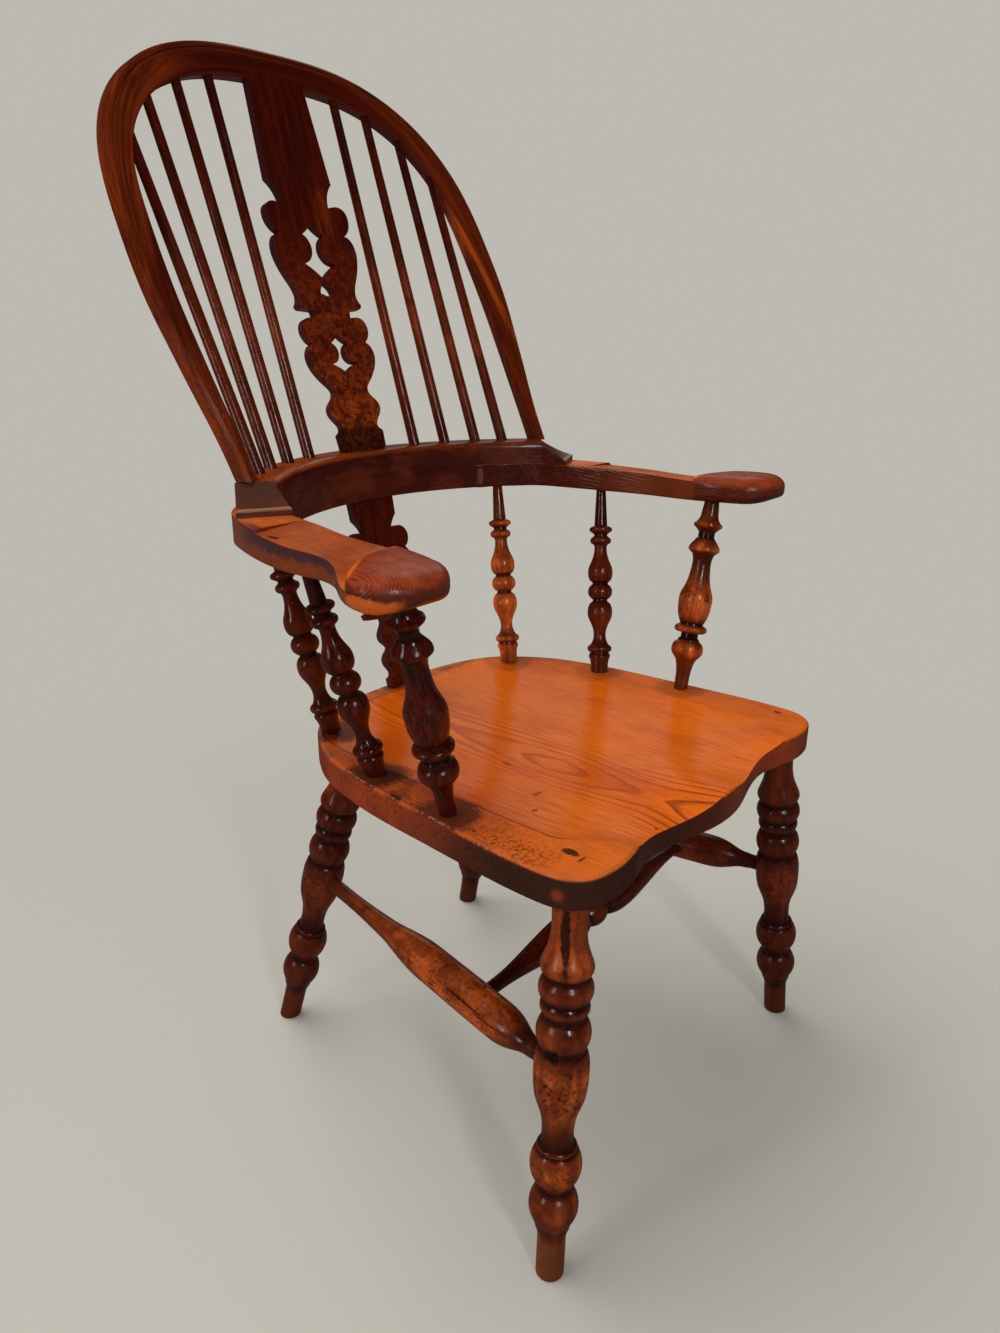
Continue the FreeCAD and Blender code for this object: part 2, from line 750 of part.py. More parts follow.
def hoop_tenon():
    """Round tenon on the right foot, along the hoop's leg."""
    end = hoop_point(hoop_foot_x, 0.0)
    above = hoop_point(between(hoop_foot_x, HOOP_LINE[-1][0] * hoop_half_width, 0.5), 0.11 * hoop_height)
    down = (end - above).normalize()
    return rod(end - down * tenon_run_in, down, hoop_tenon_length + tenon_run_in, hoop_tenon_diameter)


def make_hoop():
    stations = 27
    first = hoop_line.FirstParameter
    last = hoop_line.LastParameter
    sections = [hoop_section(between(first, last, i / (stations - 1))) for i in range(stations)]
    body = Part.makeLoft(sections, True, False).common(slab(crest_top, big))
    body = body.fuse(hoop_tenon()).fuse(mirrored(hoop_tenon())).removeSplitter()
    return body


# Sticks


def hoop_centre_at(x):
    """Point of the hoop's centre line above x, on the upper part of its right side."""
    low = 0.5 * (hoop_line.FirstParameter + hoop_line.LastParameter)
    high = between(low, hoop_line.LastParameter, 0.62)
    for _ in range(50):
        middle = 0.5 * (low + high)
        if hoop_line.value(middle).x < x:
            low = middle
        else:
            high = middle
    return hoop_line.value(low)


def stick_axis(foot_x, head_x):
    foot = bow_point(math.degrees(math.asin(foot_x / stick_radius)), stick_radius, crest_top)
    return foot, hoop_centre_at(head_x)


def stick_tails(axis):
    foot, head = axis
    up = (head - foot).normalize()
    low = stick_foot_depth + stick_straight_foot
    high = hoop_width_top + stick_straight_head
    below = rod(foot + up * stick_straight_foot, up * -1, low, stick_foot_diameter)
    above = rod(head + up * stick_head_depth, up * -1, high, stick_head_diameter)
    return below, above


def make_stick(axis):
    foot, head = axis
    up = (head - foot).normalize()
    below, above = stick_tails(axis)
    start = foot + up * stick_straight_foot
    straight = stick_straight_foot + hoop_width_top + stick_straight_head
    length = (head - foot).Length + stick_head_depth - straight
    body = Part.makeCone(stick_foot_diameter / 2, stick_head_diameter / 2, length, start, up)
    return body.fuse(below).fuse(above)


# Splats: drawn flat with x across and z up the splat, then leaned to their line

# Right edge from the head down, as shares of the height from foot to head and real half widths
UPPER_EDGE = [
    ("line", (0.713, 47.0)),
    ("arc", (0.690, 38.6), (0.650, 34.0)),
    ("curve", (0.6545, 43.0), (0.6525, 53.0), (0.640, 59.5), (0.620, 61.2), (0.598, 58.5), (0.577, 48.8)),
    ("curve", (0.566, 57.0), (0.5316, 61.5), (0.500, 59.0), (0.4655, 52.5), (0.440, 46.5), (0.418, 43.8)),
    ("arc", (0.403, 45.2), (0.390, 49.0)),
    ("line", (0.381, 46.5)),
    ("line", (0.3767, 28.0)),
    ("line", (0.3563, 26.5)),
    ("curve", (0.3575, 34.0), (0.356, 41.0), (0.345, 47.5), (0.324, 50.2), (0.304, 47.5), (0.290, 41.2)),
    ("curve", (0.275, 48.5), (0.252, 51.0), (0.232, 49.0), (0.208, 43.0), (0.184, 33.5), (0.1614, 26.2),
     (0.145, 29.0), (0.131, 35.6), (0.114, 39.4), (0.097, 37.6), (0.080, 31.6), (0.063, 28.2), (0.056, 29.2)),
    ("line", (0.0465, 34.8)),
    ("line", (0.0, 33.6)),
]
upper_splat_head_half = 39.3

LOWER_EDGE = [
    ("line", (0.897, 33.6)),
    ("arc", (0.868, 27.4), (0.832, 22.4)),
    ("line", (0.828, 27.0)),
    ("arc", (0.772, 48.6), (0.716, 41.0)),
    ("curve", (0.690, 46.0), (0.640, 50.0), (0.580, 47.6), (0.500, 38.0), (0.448, 35.6), (0.425, 38.0)),
    ("line", (0.412, 46.0)),
    ("line", (0.386, 43.0)),
    ("line", (0.376, 21.0)),
    ("curve", (0.352, 18.8), (0.330, 21.6), (0.288, 27.0), (0.250, 24.4), (0.212, 17.0), (0.182, 23.4),
     (0.150, 26.8), (0.116, 24.0), (0.082, 19.4), (0.060, 20.6)),
    ("line", (0.052, 25.6)),
    ("line", (0.0, 24.6)),
]
lower_splat_head_half = 35.0

# Pierced figure: a pointed star above, two rounded lobes that nip it in, and a wider star below
UPPER_FIGURE = [
    (0.607, 0.0), ("arc", (0.592, 5.6), (0.575, 16.0)), ("arc", (0.541, 7.0), (0.499, 23.5)),
    ("arc", (0.478, 9.5), (0.458, 0.0)),
]
LOWER_FIGURE = [
    (0.316, 0.0), ("arc", (0.303, 5.0), (0.290, 13.2)), ("arc", (0.268, 5.6), (0.236, 21.5)),
    ("arc", (0.223, 8.6), (0.209, 0.0)),
]
UPPER_EYE = [(0.448, 0.0), ("arc", (0.436, 7.6), (0.421, 10.0)), ("line", (0.4135, 0.0))]
LOW_FIGURE = [
    (0.690, 0.0), ("arc", (0.668, 4.2), (0.656, 11.0)), ("arc", (0.612, 5.0), (0.560, 16.0)),
    ("arc", (0.532, 7.0), (0.500, 0.0)),
]


def flat_point(place, length, side=1):
    return V(side * place[1], 0, place[0] * length)


def outline_edges(start, moves, length):
    here = flat_point(start, length)
    edges = []
    for kind, *places in moves:
        points = [here] + [flat_point(place, length) for place in places]
        if kind == "line":
            edges.append(Part.makeLine(points[0], points[1]))
        elif kind == "arc":
            edges.append(Part.Arc(points[0], points[1], points[2]).toShape())
        else:
            edges.append(spline(points))
        here = points[-1]
    return edges, here


def plate(start, moves, length, closing):
    """Flat plate with a mirrored outline, splat_thickness thick about y = 0."""
    edges, last = outline_edges(start, moves, length)
    left = [mirrored(edge) for edge in edges]
    wires = edges + left
    if closing:
        first = flat_point(start, length)
        wires.append(Part.makeLine(first, V(-first.x, 0, first.z)))
        wires.append(Part.makeLine(last, V(-last.x, 0, last.z)))
    face = Part.Face(Part.Wire(Part.__sortEdges__(wires)))
    solid = face.extrude(V(0, splat_thickness, 0))
    solid.translate(V(0, -splat_thickness / 2, 0))
    return solid


def tongue(width, low, high):
    return Part.makeBox(width, splat_thickness, high - low, V(-width / 2, -splat_thickness / 2, low))


def leaned(shape, foot, head):
    placed = shape.copy()
    placed.Placement = FreeCAD.Placement(foot, FreeCAD.Rotation(V(0, 0, 1), head - foot))
    return placed


upper_foot = V(0, splat_foot_y, crest_top)
hoop_middle = hoop_line.value(0.5 * (hoop_line.FirstParameter + hoop_line.LastParameter))
upper_head = hoop_middle - hoop_back * splat_head_forward
lower_foot = V(0, lower_splat_foot_y, seat_height)
lower_head = V(0, lower_splat_head_y, arm_underside)


def make_upper_splat():
    span = (upper_head - upper_foot).Length
    head_share = (span - hoop_width_top / 2 + splat_head_tenon) / span
    body = plate((head_share, upper_splat_head_half), UPPER_EDGE, span, True)
    for hole in (UPPER_FIGURE, LOWER_FIGURE, UPPER_EYE):
        body = body.cut(plate(hole[0], hole[1:], span, False))
    body = leaned(body, upper_foot, upper_head).common(slab(crest_top, big))
    return body.fuse(upper_splat_tenon()).removeSplitter()


def upper_splat_tenon():
    return leaned(tongue(splat_tenon_width, -splat_foot_tenon, splat_tenon_run_in), upper_foot, upper_head)


def make_lower_splat():
    span = (lower_head - lower_foot).Length
    body = plate((1.05, lower_splat_head_half), LOWER_EDGE, span, True)
    body = body.cut(plate(LOW_FIGURE[0], LOW_FIGURE[1:], span, False))
    body = leaned(body, lower_foot, lower_head).common(slab(seat_height, arm_underside))
    return body.fuse(lower_splat_tenons()).removeSplitter()


def lower_splat_tenons():
    span = (lower_head - lower_foot).Length
    low = tongue(0.7 * lower_splat_tenon_width, -lower_splat_foot_tenon, splat_tenon_run_in)
    high = tongue(lower_splat_tenon_width, span - splat_tenon_run_in, span + lower_splat_head_tenon)
    return leaned(low.fuse(high), lower_foot, lower_head)


def cut_all(body, cutters):
    for cutter in cutters:
        body = body.cut(cutter)
    return body


def both(shape):
    return [shape, mirrored(shape)]


def build():
    """Every piece by its node name, in the chair's own frame."""
    stick_axes = [stick_axis(foot, head) for foot, head in zip(stick_foot_x, stick_head_x)]
    supports = {
        "arm_post": (post_axis, post_foot_radius, POST_TURNING, post_tenon_diameter),
        "arm_spindle_mid": (mid_axis, spindle_foot_radius, SPINDLE_TURNING, spindle_tenon_diameter),
        "arm_spindle_rear": (rear_support_axis, spindle_foot_radius, SPINDLE_TURNING, spindle_tenon_diameter),
    }
    pieces = {}
    pairs = {
        "leg_front": make_leg(front_axis, 1.0, side_tail(True)),
        "leg_rear": make_leg(rear_axis, rear_leg_girth, side_tail(False)),
        "side_stretcher": make_side_stretcher(),
    }
    pegs = [peg for axis, _, _, size in supports.values() for peg in support_tenons(axis, size)]
    tails = [tail for axis in stick_axes for tail in stick_tails(axis)]
    for name, values in supports.items():
        pairs[name] = make_support(*values)
    for number, axis in enumerate(stick_axes, start=1):
        pairs[f"back_stick_{number}"] = make_stick(axis)
    right_cutters = pegs + tails + [hoop_tenon()]
    splat_cutters = [upper_splat_tenon(), lower_splat_tenons()]
    pairs["arm"] = cut_all(make_arm(), right_cutters)
    pairs["crest_end"] = cut_all(make_crest_end(), right_cutters)
    for name, shape in pairs.items():
        pieces[f"{name}_left"] = shape
        pieces[f"{name}_right"] = mirrored(shape)
    two_sided = [side for cutter in right_cutters for side in both(cutter)]
    pieces["arm_rail"] = cut_all(make_rail(), two_sided + splat_cutters)
    pieces["crest_centre"] = cut_all(make_crest_centre(), two_sided + splat_cutters)
    pieces["splat_upper"] = make_upper_splat()
    pieces["splat_lower"] = make_lower_splat()
    sticks = [shape for name, shape in pieces.items() if name.startswith("back_stick")]
    pieces["back_hoop"] = cut_all(make_hoop(), sticks + [pieces["splat_upper"]])
    pieces["cross_stretcher"] = make_cross_stretcher()
    sockets = [leg_tenon(front_axis), leg_tenon(rear_axis)] + pegs
    pieces["seat"] = make_seat([s for t in sockets for s in both(t)] + [lower_splat_tenons()])
    return pieces


def export(pieces):
    """Moves the origin under the middle of the chair and writes one file for each piece."""
    whole = FreeCAD.BoundBox()
    for shape in pieces.values():
        whole.add(shape.optimalBoundingBox(False, False))
    shift = V(0, -(whole.YMin + whole.YMax) / 2, 0)
    for name, shape in sorted(pieces.items()):
        shape.translate(shift)
        solids = len(shape.Solids)
        print(f"{name}: {solids} solid, valid {shape.isValid()}, volume {shape.Volume / 1000:.1f} cm3")
        shape.exportStep(f"parts/{name}.step")
    print(f"shift {shift.y:.3f}, size {whole.XLength:.1f} x {whole.YLength:.1f} x {whole.ZMax:.1f}")


export(build())
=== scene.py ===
from math import cos, pi, radians, sin

import bpy
import numpy as np
from bpy.props import FloatProperty, FloatVectorProperty, PointerProperty
from mathutils import Matrix, Vector


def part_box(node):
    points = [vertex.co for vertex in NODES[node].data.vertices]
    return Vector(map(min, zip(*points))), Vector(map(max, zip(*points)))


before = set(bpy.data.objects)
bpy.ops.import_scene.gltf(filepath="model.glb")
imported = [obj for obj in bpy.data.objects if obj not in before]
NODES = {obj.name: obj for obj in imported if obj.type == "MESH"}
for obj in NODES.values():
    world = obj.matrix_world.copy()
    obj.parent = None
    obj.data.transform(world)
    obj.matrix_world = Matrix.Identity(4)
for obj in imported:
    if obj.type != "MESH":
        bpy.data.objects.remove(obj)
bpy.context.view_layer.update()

bl_info = {
    "name": "Windsor armchair finishes",
    "version": (1, 0, 0),
    "blender": (4, 5, 0),
    "location": "3D View > Sidebar > Armchair",
    "description": "Old polished elm, beech and yew for a high-backed turned armchair, with its studio",
    "category": "Object",
}

SIDES = ("left", "right")


def colour_prop(name, words, value):
    return FloatVectorProperty(
        name=name, description=words, default=value, min=0.0, max=1.0, size=3, subtype="COLOR",
    )


def share_prop(name, words, value):
    return FloatProperty(name=name, description=words, default=value, min=0.0, max=1.0, subtype="FACTOR")


def length_prop(name, words, value):
    return FloatProperty(name=name, description=words, default=value, min=0.0, unit="LENGTH")


def strength_prop(name, words, value):
    return FloatProperty(name=name, description=words, default=value, min=0.0)


class SeatFinish(bpy.types.PropertyGroup):
    """The elm board."""

    gold: colour_prop("Gold", "The lightest wood, between the rings", (0.8, 0.15, 0.006))
    amber: colour_prop("Amber", "The wood in the rings and the open pores", (0.42, 0.05, 0.002))
    russet: colour_prop("Russet", "The redder wood towards the worn side", (0.44, 0.05, 0.003))
    rim: colour_prop("Rim", "The rim that hands and cloth have not cleaned", (0.22, 0.03, 0.003))
    dusty: colour_prop("Dusty rim", "The greyed rim at the back", (0.19, 0.06, 0.024))
    edge: colour_prop("Edge", "The sides of the board in the dark corner", (0.045, 0.01, 0.003))
    # Painted highlight: the pinkish line along the rounded upper edge of the seat.
    edge_highlight: colour_prop("Chipped", "The bruised upper edge", (0.42, 0.12, 0.05))
    grime: colour_prop("Grime", "Old wax and dirt in pits and gutters", (0.008, 0.003, 0.002))
    gloss: share_prop("Roughness", "Roughness of the polished top", 0.17)
    ring_gap: length_prop("Ring gap", "Distance between growth rings in the middle figure", 0.007)
    rim_side: length_prop("Side rim", "Width of the flat rim beside the saddle", 0.054)
    rim_back: length_prop("Back rim", "Width of the flat rim behind the saddle", 0.025)


class TurnedFinish(bpy.types.PropertyGroup):
    """Legs, stretchers, posts, spindles and sticks."""

    # Pale is painted light, laid on the turnings whose share of rubbing goes above 1.
    pale: colour_prop("Pale", "The lightest turnings, towards the light", (0.96, 0.185, 0.02))
    bright: colour_prop("Bright", "Wood rubbed bare on the proud turnings", (0.46, 0.074, 0.006))
    red: colour_prop("Red", "The stain of the smooth stretches", (0.11, 0.0085, 0.002))
    dark: colour_prop("Dark", "Old polish in the hollows", (0.0085, 0.0011, 0.0006))
    matt: colour_prop("Matt", "The unpolished feet", (0.15, 0.036, 0.009))
    gloss: share_prop("Roughness", "Roughness of the old polish", 0.14)


class BentFinish(bpy.types.PropertyGroup):
    """Arm bow, crest, hoop and splats."""

    orange: colour_prop("Orange", "The rubbed tops of the arms", (0.9, 0.165, 0.012))
    bright: colour_prop("Bright", "Rubbed wood on edges and figure", (0.6, 0.1, 0.009))
    red: colour_prop("Red", "Stained wood", (0.085, 0.0058, 0.0015))
    dark: colour_prop("Dark", "Dark grain and old polish", (0.0095, 0.0011, 0.0006))
    pad: colour_prop("Pad", "The red-brown pads", (0.34, 0.054, 0.018))
    # Plum is a painted sheen: the purple band along the arms' rounded outer edge and the highlight on the
    # splats' sides.
    plum_sheen: colour_prop("Plum", "The bruised band along the outer edge of the arm", (0.036, 0.016, 0.028))
    olive: colour_prop("Olive", "The sides of the arms", (0.1, 0.03, 0.009))
    worn: colour_prop("Worn", "Greyed wood of the ramps", (0.062, 0.025, 0.014))
    # Pale is a painted highlight along the ramps' lips, and worn bare wood at the far arm's joint.
    pale: colour_prop("Pale", "Bare wood on the lips and the worn joint", (0.36, 0.23, 0.12))
    gloss: share_prop("Roughness", "Roughness of the hand polish", 0.21)


class StudioSettings(bpy.types.PropertyGroup):
    """Floor, light and camera."""

    ground: colour_prop("Ground", "Colour of the ground and the backdrop", (0.509, 0.491, 0.441))
    floor_half: length_prop("Floor", "Half the floor's width", 14.0)
    flat: share_prop("Flat", "How little of the shade the ground shows to the camera beside the chair", 0.1)
    sun: strength_prop("Key", "Strength of the key light", 2.3)
    sky: strength_prop("Sky", "Strength of the even light", 0.62)
    room: share_prop("Room", "How bright the unlit side of the room is in reflections", 0.03)
    camera_place: FloatVectorProperty(
        name="Camera", description="Place of the camera from the middle of the cross stretcher",
        default=(-0.8168, -0.5349, 0.8752), subtype="TRANSLATION", unit="LENGTH", size=3,
    )
    lens: FloatProperty(
        name="Lens", description="Focal length on a long side of 36 mm", default=26.3, min=1.0,
    )


GROUPS = {
    "chair_seat": SeatFinish,
    "chair_turned": TurnedFinish,
    "chair_bent": BentFinish,
    "chair_studio": StudioSettings,
}


def chosen(group):
    """The sizes and colours of one group."""
    return getattr(bpy.context.scene, group)


# Node trees

FLOAT = "NodeSocketFloat"
VECTOR = "NodeSocketVector"
ORIGIN = (0.0, 0.0, 0.0)

# Solid share of a spot inside its soft edge, and how far a noise pulls its outline about
SPOT_CORE = 0.72
SPOT_RAGGEDNESS = 1.2


class Net:
    """A net of shader nodes, and the short ways of adding to it."""

    def __init__(self, tree):
        self.tree = tree

    def add(self, kind, feeds=None, **settings):
        node = self.tree.nodes.new(kind)
        for name, value in settings.items():
            setattr(node, name, value)
        for name, value in (feeds or {}).items():
            self.feed(node.inputs[name], value)
        return node

    def feed(self, socket, value):
        if isinstance(value, bpy.types.NodeSocket):
            self.tree.links.new(value, socket)
        elif socket.type == "RGBA":
            socket.default_value = (*value[:3], 1.0)
        else:
            socket.default_value = value

    def maths(self, operation, *values):
        return self.add("ShaderNodeMath", dict(enumerate(values)), operation=operation).outputs[0]

    def chained(self, operation, values):
        """One operation laid over all the values, from the first to the last."""
        whole, *others = values
        for value in others:
            whole = self.maths(operation, whole, value)
        return whole

    def plus(self, *values):
        return self.chained("ADD", values)

    def times(self, *values):
        return self.chained("MULTIPLY", values)

    def built_up(self, start, *parts):
        """A number, with each part added in its share."""
        return self.plus(start, *(self.times(*part) for part in parts))

    def most(self, *values):
        return self.chained("MAXIMUM", values)

    def minus(self, one, two):
        return self.maths("SUBTRACT", one, two)

    def over(self, one, two):
        return self.maths("DIVIDE", one, two)

    def vector(self, operation, one, two=ORIGIN):
        node = self.add("ShaderNodeVectorMath", {0: one, 1: two}, operation=operation)
        return node.outputs["Value" if operation in ("DOT_PRODUCT", "LENGTH", "DISTANCE") else "Vector"]

    def scaled(self, vector, share):
        return self.add("ShaderNodeVectorMath", {0: vector, "Scale": share}, operation="SCALE").outputs[0]

    def noise(self, place, scale, detail=4.0, rough=0.55, distort=0.0):
        feeds = {"Vector": place, "Scale": scale, "Detail": detail, "Roughness": rough, "Distortion": distort}
        return self.add("ShaderNodeTexNoise", feeds).outputs["Fac"]

    def cells(self, place, scale):
        return self.add("ShaderNodeTexVoronoi", {"Vector": place, "Scale": scale}).outputs["Distance"]

    def step(self, value, low, high, start=0.0, end=1.0):
        """Smooth change from start at the low value to end at the high one, which may be the smaller."""
        feeds = {"Value": value, "From Min": low, "From Max": high, "To Min": start, "To Max": end}
        return self.add("ShaderNodeMapRange", feeds, interpolation_type="SMOOTHSTEP").outputs["Result"]

    def blend(self, share, one, two):
        node = self.add("ShaderNodeMix", {"Factor": share}, data_type="RGBA")
        for socket, colour in zip([s for s in node.inputs if s.type == "RGBA"], (one, two)):
            self.feed(socket, colour)
        return next(s for s in node.outputs if s.type == "RGBA")

    def coats(self, wood, rows):
        """Colours laid over the wood one after another. Each row is a colour and the masks that hold it."""
        for colour, *masks in rows:
            wood = self.blend(self.times(*masks), wood, colour)
        return wood

    def split(self, vector):
        return self.add("ShaderNodeSeparateXYZ", {0: vector}).outputs

    def join(self, x, y, z):
        return self.add("ShaderNodeCombineXYZ", {"X": x, "Y": y, "Z": z}).outputs[0]

    def position(self):
        return self.add("ShaderNodeTexCoord").outputs["Object"]

    def facing(self):
        return self.split(self.add("ShaderNodeTexCoord").outputs["Normal"])

    def measured_from(self, place):
        feeds = {"Vector": self.position(), "Location": place}
        return self.add("ShaderNodeMapping", feeds, vector_type="TEXTURE").outputs[0]

    def spot(self, x, y, middle, reach, ragged):
        """Soft oval, 1 inside and 0 outside, whose outline follows a noise."""
        across = self.over(self.minus(x, middle[0]), reach[0])
        along = self.over(self.minus(y, middle[1]), reach[1])
        far = self.vector("LENGTH", self.join(across, along, 0.0))
        far = self.plus(far, self.times(self.minus(ragged, 0.5), SPOT_RAGGEDNESS))
        return self.step(far, 1.0, SPOT_CORE)

    def bands(self, share, rows):
        """Three masks that change along a piece, from rows of the share of the way and three values."""
        ramp = self.add("ShaderNodeValToRGB", {"Fac": share})
        stops = ramp.color_ramp.elements
        for index, row in enumerate(rows):
            place, *values = (percent / 100.0 for percent in row)
            stop = stops[index] if index < 2 else stops.new(place)
            stop.position = place
            stop.color = (*values, 1.0)
        return self.add("ShaderNodeSeparateColor", {0: ramp.outputs["Color"]}).outputs

    def group(self, name, **feeds):
        feeds = {socket.replace("_", " "): value for socket, value in feeds.items()}
        return self.add("ShaderNodeGroup", feeds, node_tree=bpy.data.node_groups[name]).outputs

    def gives(self, **results):
        """Closes a group with one output for each named result."""
        for label in results:
            self.tree.interface.new_socket(name=label, in_out="OUTPUT", socket_type=FLOAT)
        self.add("NodeGroupOutput", results)


def new_group(name, **inputs):
    """Shader group with named inputs and their defaults. Gives its net and its input sockets."""
    tree = bpy.data.node_groups.new(name, "ShaderNodeTree")
    for label, value in inputs.items():
        kind = FLOAT if isinstance(value, float) else VECTOR
        socket = tree.interface.new_socket(name=label.replace("_", " "), in_out="INPUT", socket_type=kind)
        socket.default_value = value
    net = Net(tree)
    return net, net.add("NodeGroupInput").outputs


def blank_net(owner):
    """Net of a material or world, emptied."""
    owner.use_nodes = True
    owner.node_tree.nodes.clear()
    return Net(owner.node_tree)


# Shared effects

# How much the pattern is drawn out along the fibres, and how far the fibres wander, in metres
GRAIN_STRETCH = 0.94
STRIPE_STRETCH = 0.93
GRAIN_WANDER = 0.012


def make_grain_group():
    """Streaks and pores of straight grain. Position is metres, Along the way the fibres run."""
    net, given = new_group("Straight grain", Position=ORIGIN, Along=(0.0, 0.0, 1.0), Scale=1.0, Wander=1.0)
    position, along = given["Position"], given["Along"]
    run = net.vector("DOT_PRODUCT", position, along)
    place = net.vector("ADD", position, net.scaled(along, net.times(run, -GRAIN_STRETCH)))
    bend = net.minus(net.noise(net.scaled(position, 9.0), 1.0, 2.0), 0.5)
    shift = net.times(bend, net.times(given["Wander"], GRAIN_WANDER))
    place = net.vector("ADD", place, net.join(shift, net.times(shift, 0.7), shift))
    place = net.scaled(place, given["Scale"])
    wide = net.noise(place, 130.0, 3.0, 0.6)
    fine = net.noise(place, 520.0, 3.0, 0.65)
    pore = net.step(net.noise(place, 1150.0, 2.0, 0.6), 0.6, 0.72)
    streak = net.plus(net.times(wide, 0.62), net.times(fine, 0.38))
    net.gives(
        Streak=net.step(streak, 0.36, 0.64),
        Pore=pore,
        Height=net.minus(net.times(fine, 0.4), pore),
    )


def make_turning_group():
    """Share of the way along a turned piece, its streaks, and broad stripes that run its whole length."""
    net, given = new_group("Turned wear", Position=ORIGIN, Foot=ORIGIN, Axis=(0.0, 0.0, 1.0), Length=0.4)
    position, axis = given["Position"], given["Axis"]
    from_foot = net.vector("SUBTRACT", position, given["Foot"])
    run = net.vector("DOT_PRODUCT", from_foot, axis)
    grain = net.group("Straight grain", Position=position, Along=axis, Scale=1.0, Wander=0.8)
    drawn_out = net.vector("SUBTRACT", from_foot, net.scaled(axis, net.times(run, STRIPE_STRETCH)))
    lathe_marks = net.noise(net.join(net.times(run, 900.0), 0.0, 0.0), 1.0, 2.0)
    net.gives(
        Share=net.over(run, given["Length"]),
        Stripe=net.step(net.noise(drawn_out, 62.0, 2.0, 0.5), 0.4, 0.62),
        Streak=grain["Streak"],
        Height=net.plus(net.times(lathe_marks, 0.5), grain["Height"]),
    )


def make_polish_group():
    """Uneven old polish: broad patches, dark flecks and small pits. The sizes are in metres."""
    net, given = new_group("Old polish", Position=ORIGIN, Patch_Size=0.05, Fleck_Size=0.004, Flecks=0.5)
    place = given["Position"]
    patch = net.noise(place, net.over(1.0, given["Patch Size"]), 4.0, 0.6)
    fleck_scale = net.over(1.0, given["Fleck Size"])
    fleck = net.noise(place, fleck_scale, 5.0, 0.7, 0.6)
    rarity = net.minus(0.75, net.times(given["Flecks"], 0.22))
    pits = net.cells(place, net.times(fleck_scale, 0.8))
    sparse = net.step(net.noise(place, net.times(fleck_scale, 0.16), 2.0), 0.56, 0.66)
    net.gives(
        Patch=net.step(patch, 0.36, 0.64),
        Fleck=net.step(fleck, rarity, net.plus(rarity, 0.035)),
        Pit=net.times(net.step(pits, 0.22, 0.12), sparse),
    )


def make_rings_group():
    """Growth rings of a board sawn off the middle of the log, its fibres along Y. Depth is how deep the heart
    of the log lies below the board, so its changes along Y draw the closed ovals and the arches."""
    net, given = new_group("Growth rings", Position=ORIGIN, Ring_Gap=0.01, Depth=0.05)
    place, depth = given["Position"], given["Depth"]
    wobble = net.noise(net.vector("MULTIPLY", place, (1.0, 0.25, 0.3)), 14.0, 2.0, 0.5)
    fibre = net.noise(net.vector("MULTIPLY", place, (1.0, 0.05, 0.2)), 90.0, 3.0, 0.6)
    pore = net.noise(net.vector("MULTIPLY", place, (1.0, 0.04, 0.2)), 560.0, 3.0, 0.65)
    x = net.plus(net.split(place)[0], net.times(net.minus(wobble, 0.5), 0.016))
    reach = net.maths("SQRT", net.plus(net.times(x, x), net.times(depth, depth)))
    reach = net.built_up(reach, (fibre, 0.0012))
    ring = net.maths("FRACT", net.over(reach, given["Ring Gap"]))
    line = net.times(net.step(ring, 0.62, 0.93), net.step(ring, 1.0, 0.95))
    middle = net.step(net.maths("ABSOLUTE", x), 0.062, 0.036, 0.1, 1.0)
    net.gives(
        Ring=net.times(ring, middle),
        Line=net.times(line, middle),
        Pore=net.step(pore, 0.48, 0.66),
    )


# Measures of the chair, in metres from its own middle

SEAT_TOP = 0.43
SEAT_BACK = 0.193
SEAT_FRONT = 0.285
SEAT_LENGTH = 0.48
ARM_UNDERSIDE = 0.6606
ARM_TOP = 0.6897
HOME_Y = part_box("seat")[1].y - SEAT_BACK
SUPPORTS = ("arm_post", "arm_spindle_mid", "arm_spindle_rear")
STICKS = [f"back_stick_{number}_{side}" for side in SIDES for number in range(1, 5)]

# Strength of the bump, and refraction of the polish
BUMP_STRENGTH = 0.6
POLISH_IOR = 1.5

# Height of the bump in metres, and how strongly each finish shines
SEAT_RELIEF = 0.0004
WOOD_RELIEF = 0.00025
SEAT_SHINE = 0.27
TURNED_SHINE = 0.42
BOW_SHINE = 0.4
HOOP_SHINE = 0.5
SPLAT_SHINE = 0.3

# A piece runs the way in which its direction has at least this share
MAIN_SHARE = 0.6


def dress(node, build, group, *values, name=None):
    """Gives a piece its finish. build returns the colour, roughness, bump height, relief and shine."""
    material = bpy.data.materials.new(name or f"{node}_wood")
    net = blank_net(material)
    colour, rough, height, relief, shine = build(net, node, chosen(group), *values)
    bump = net.add("ShaderNodeBump", {"Height": height, "Strength": BUMP_STRENGTH, "Distance": relief})
    shader = net.add("ShaderNodeBsdfPrincipled", {
        "Base Color": colour, "Roughness": rough, "IOR": POLISH_IOR, "Specular IOR Level": shine,
        "Normal": bump.outputs[0],
    })
    net.add("ShaderNodeOutputMaterial", {"Surface": shader.outputs[0]})
    target = NODES[node]
    target.data.materials.clear()
    target.data.materials.append(material)
    target.select_set(False)


def chair_place(net):
    """Position measured from the chair's own middle, and its x, y and z."""
    place = net.measured_from((0.0, HOME_Y, 0.0))
    return place, *net.split(place)


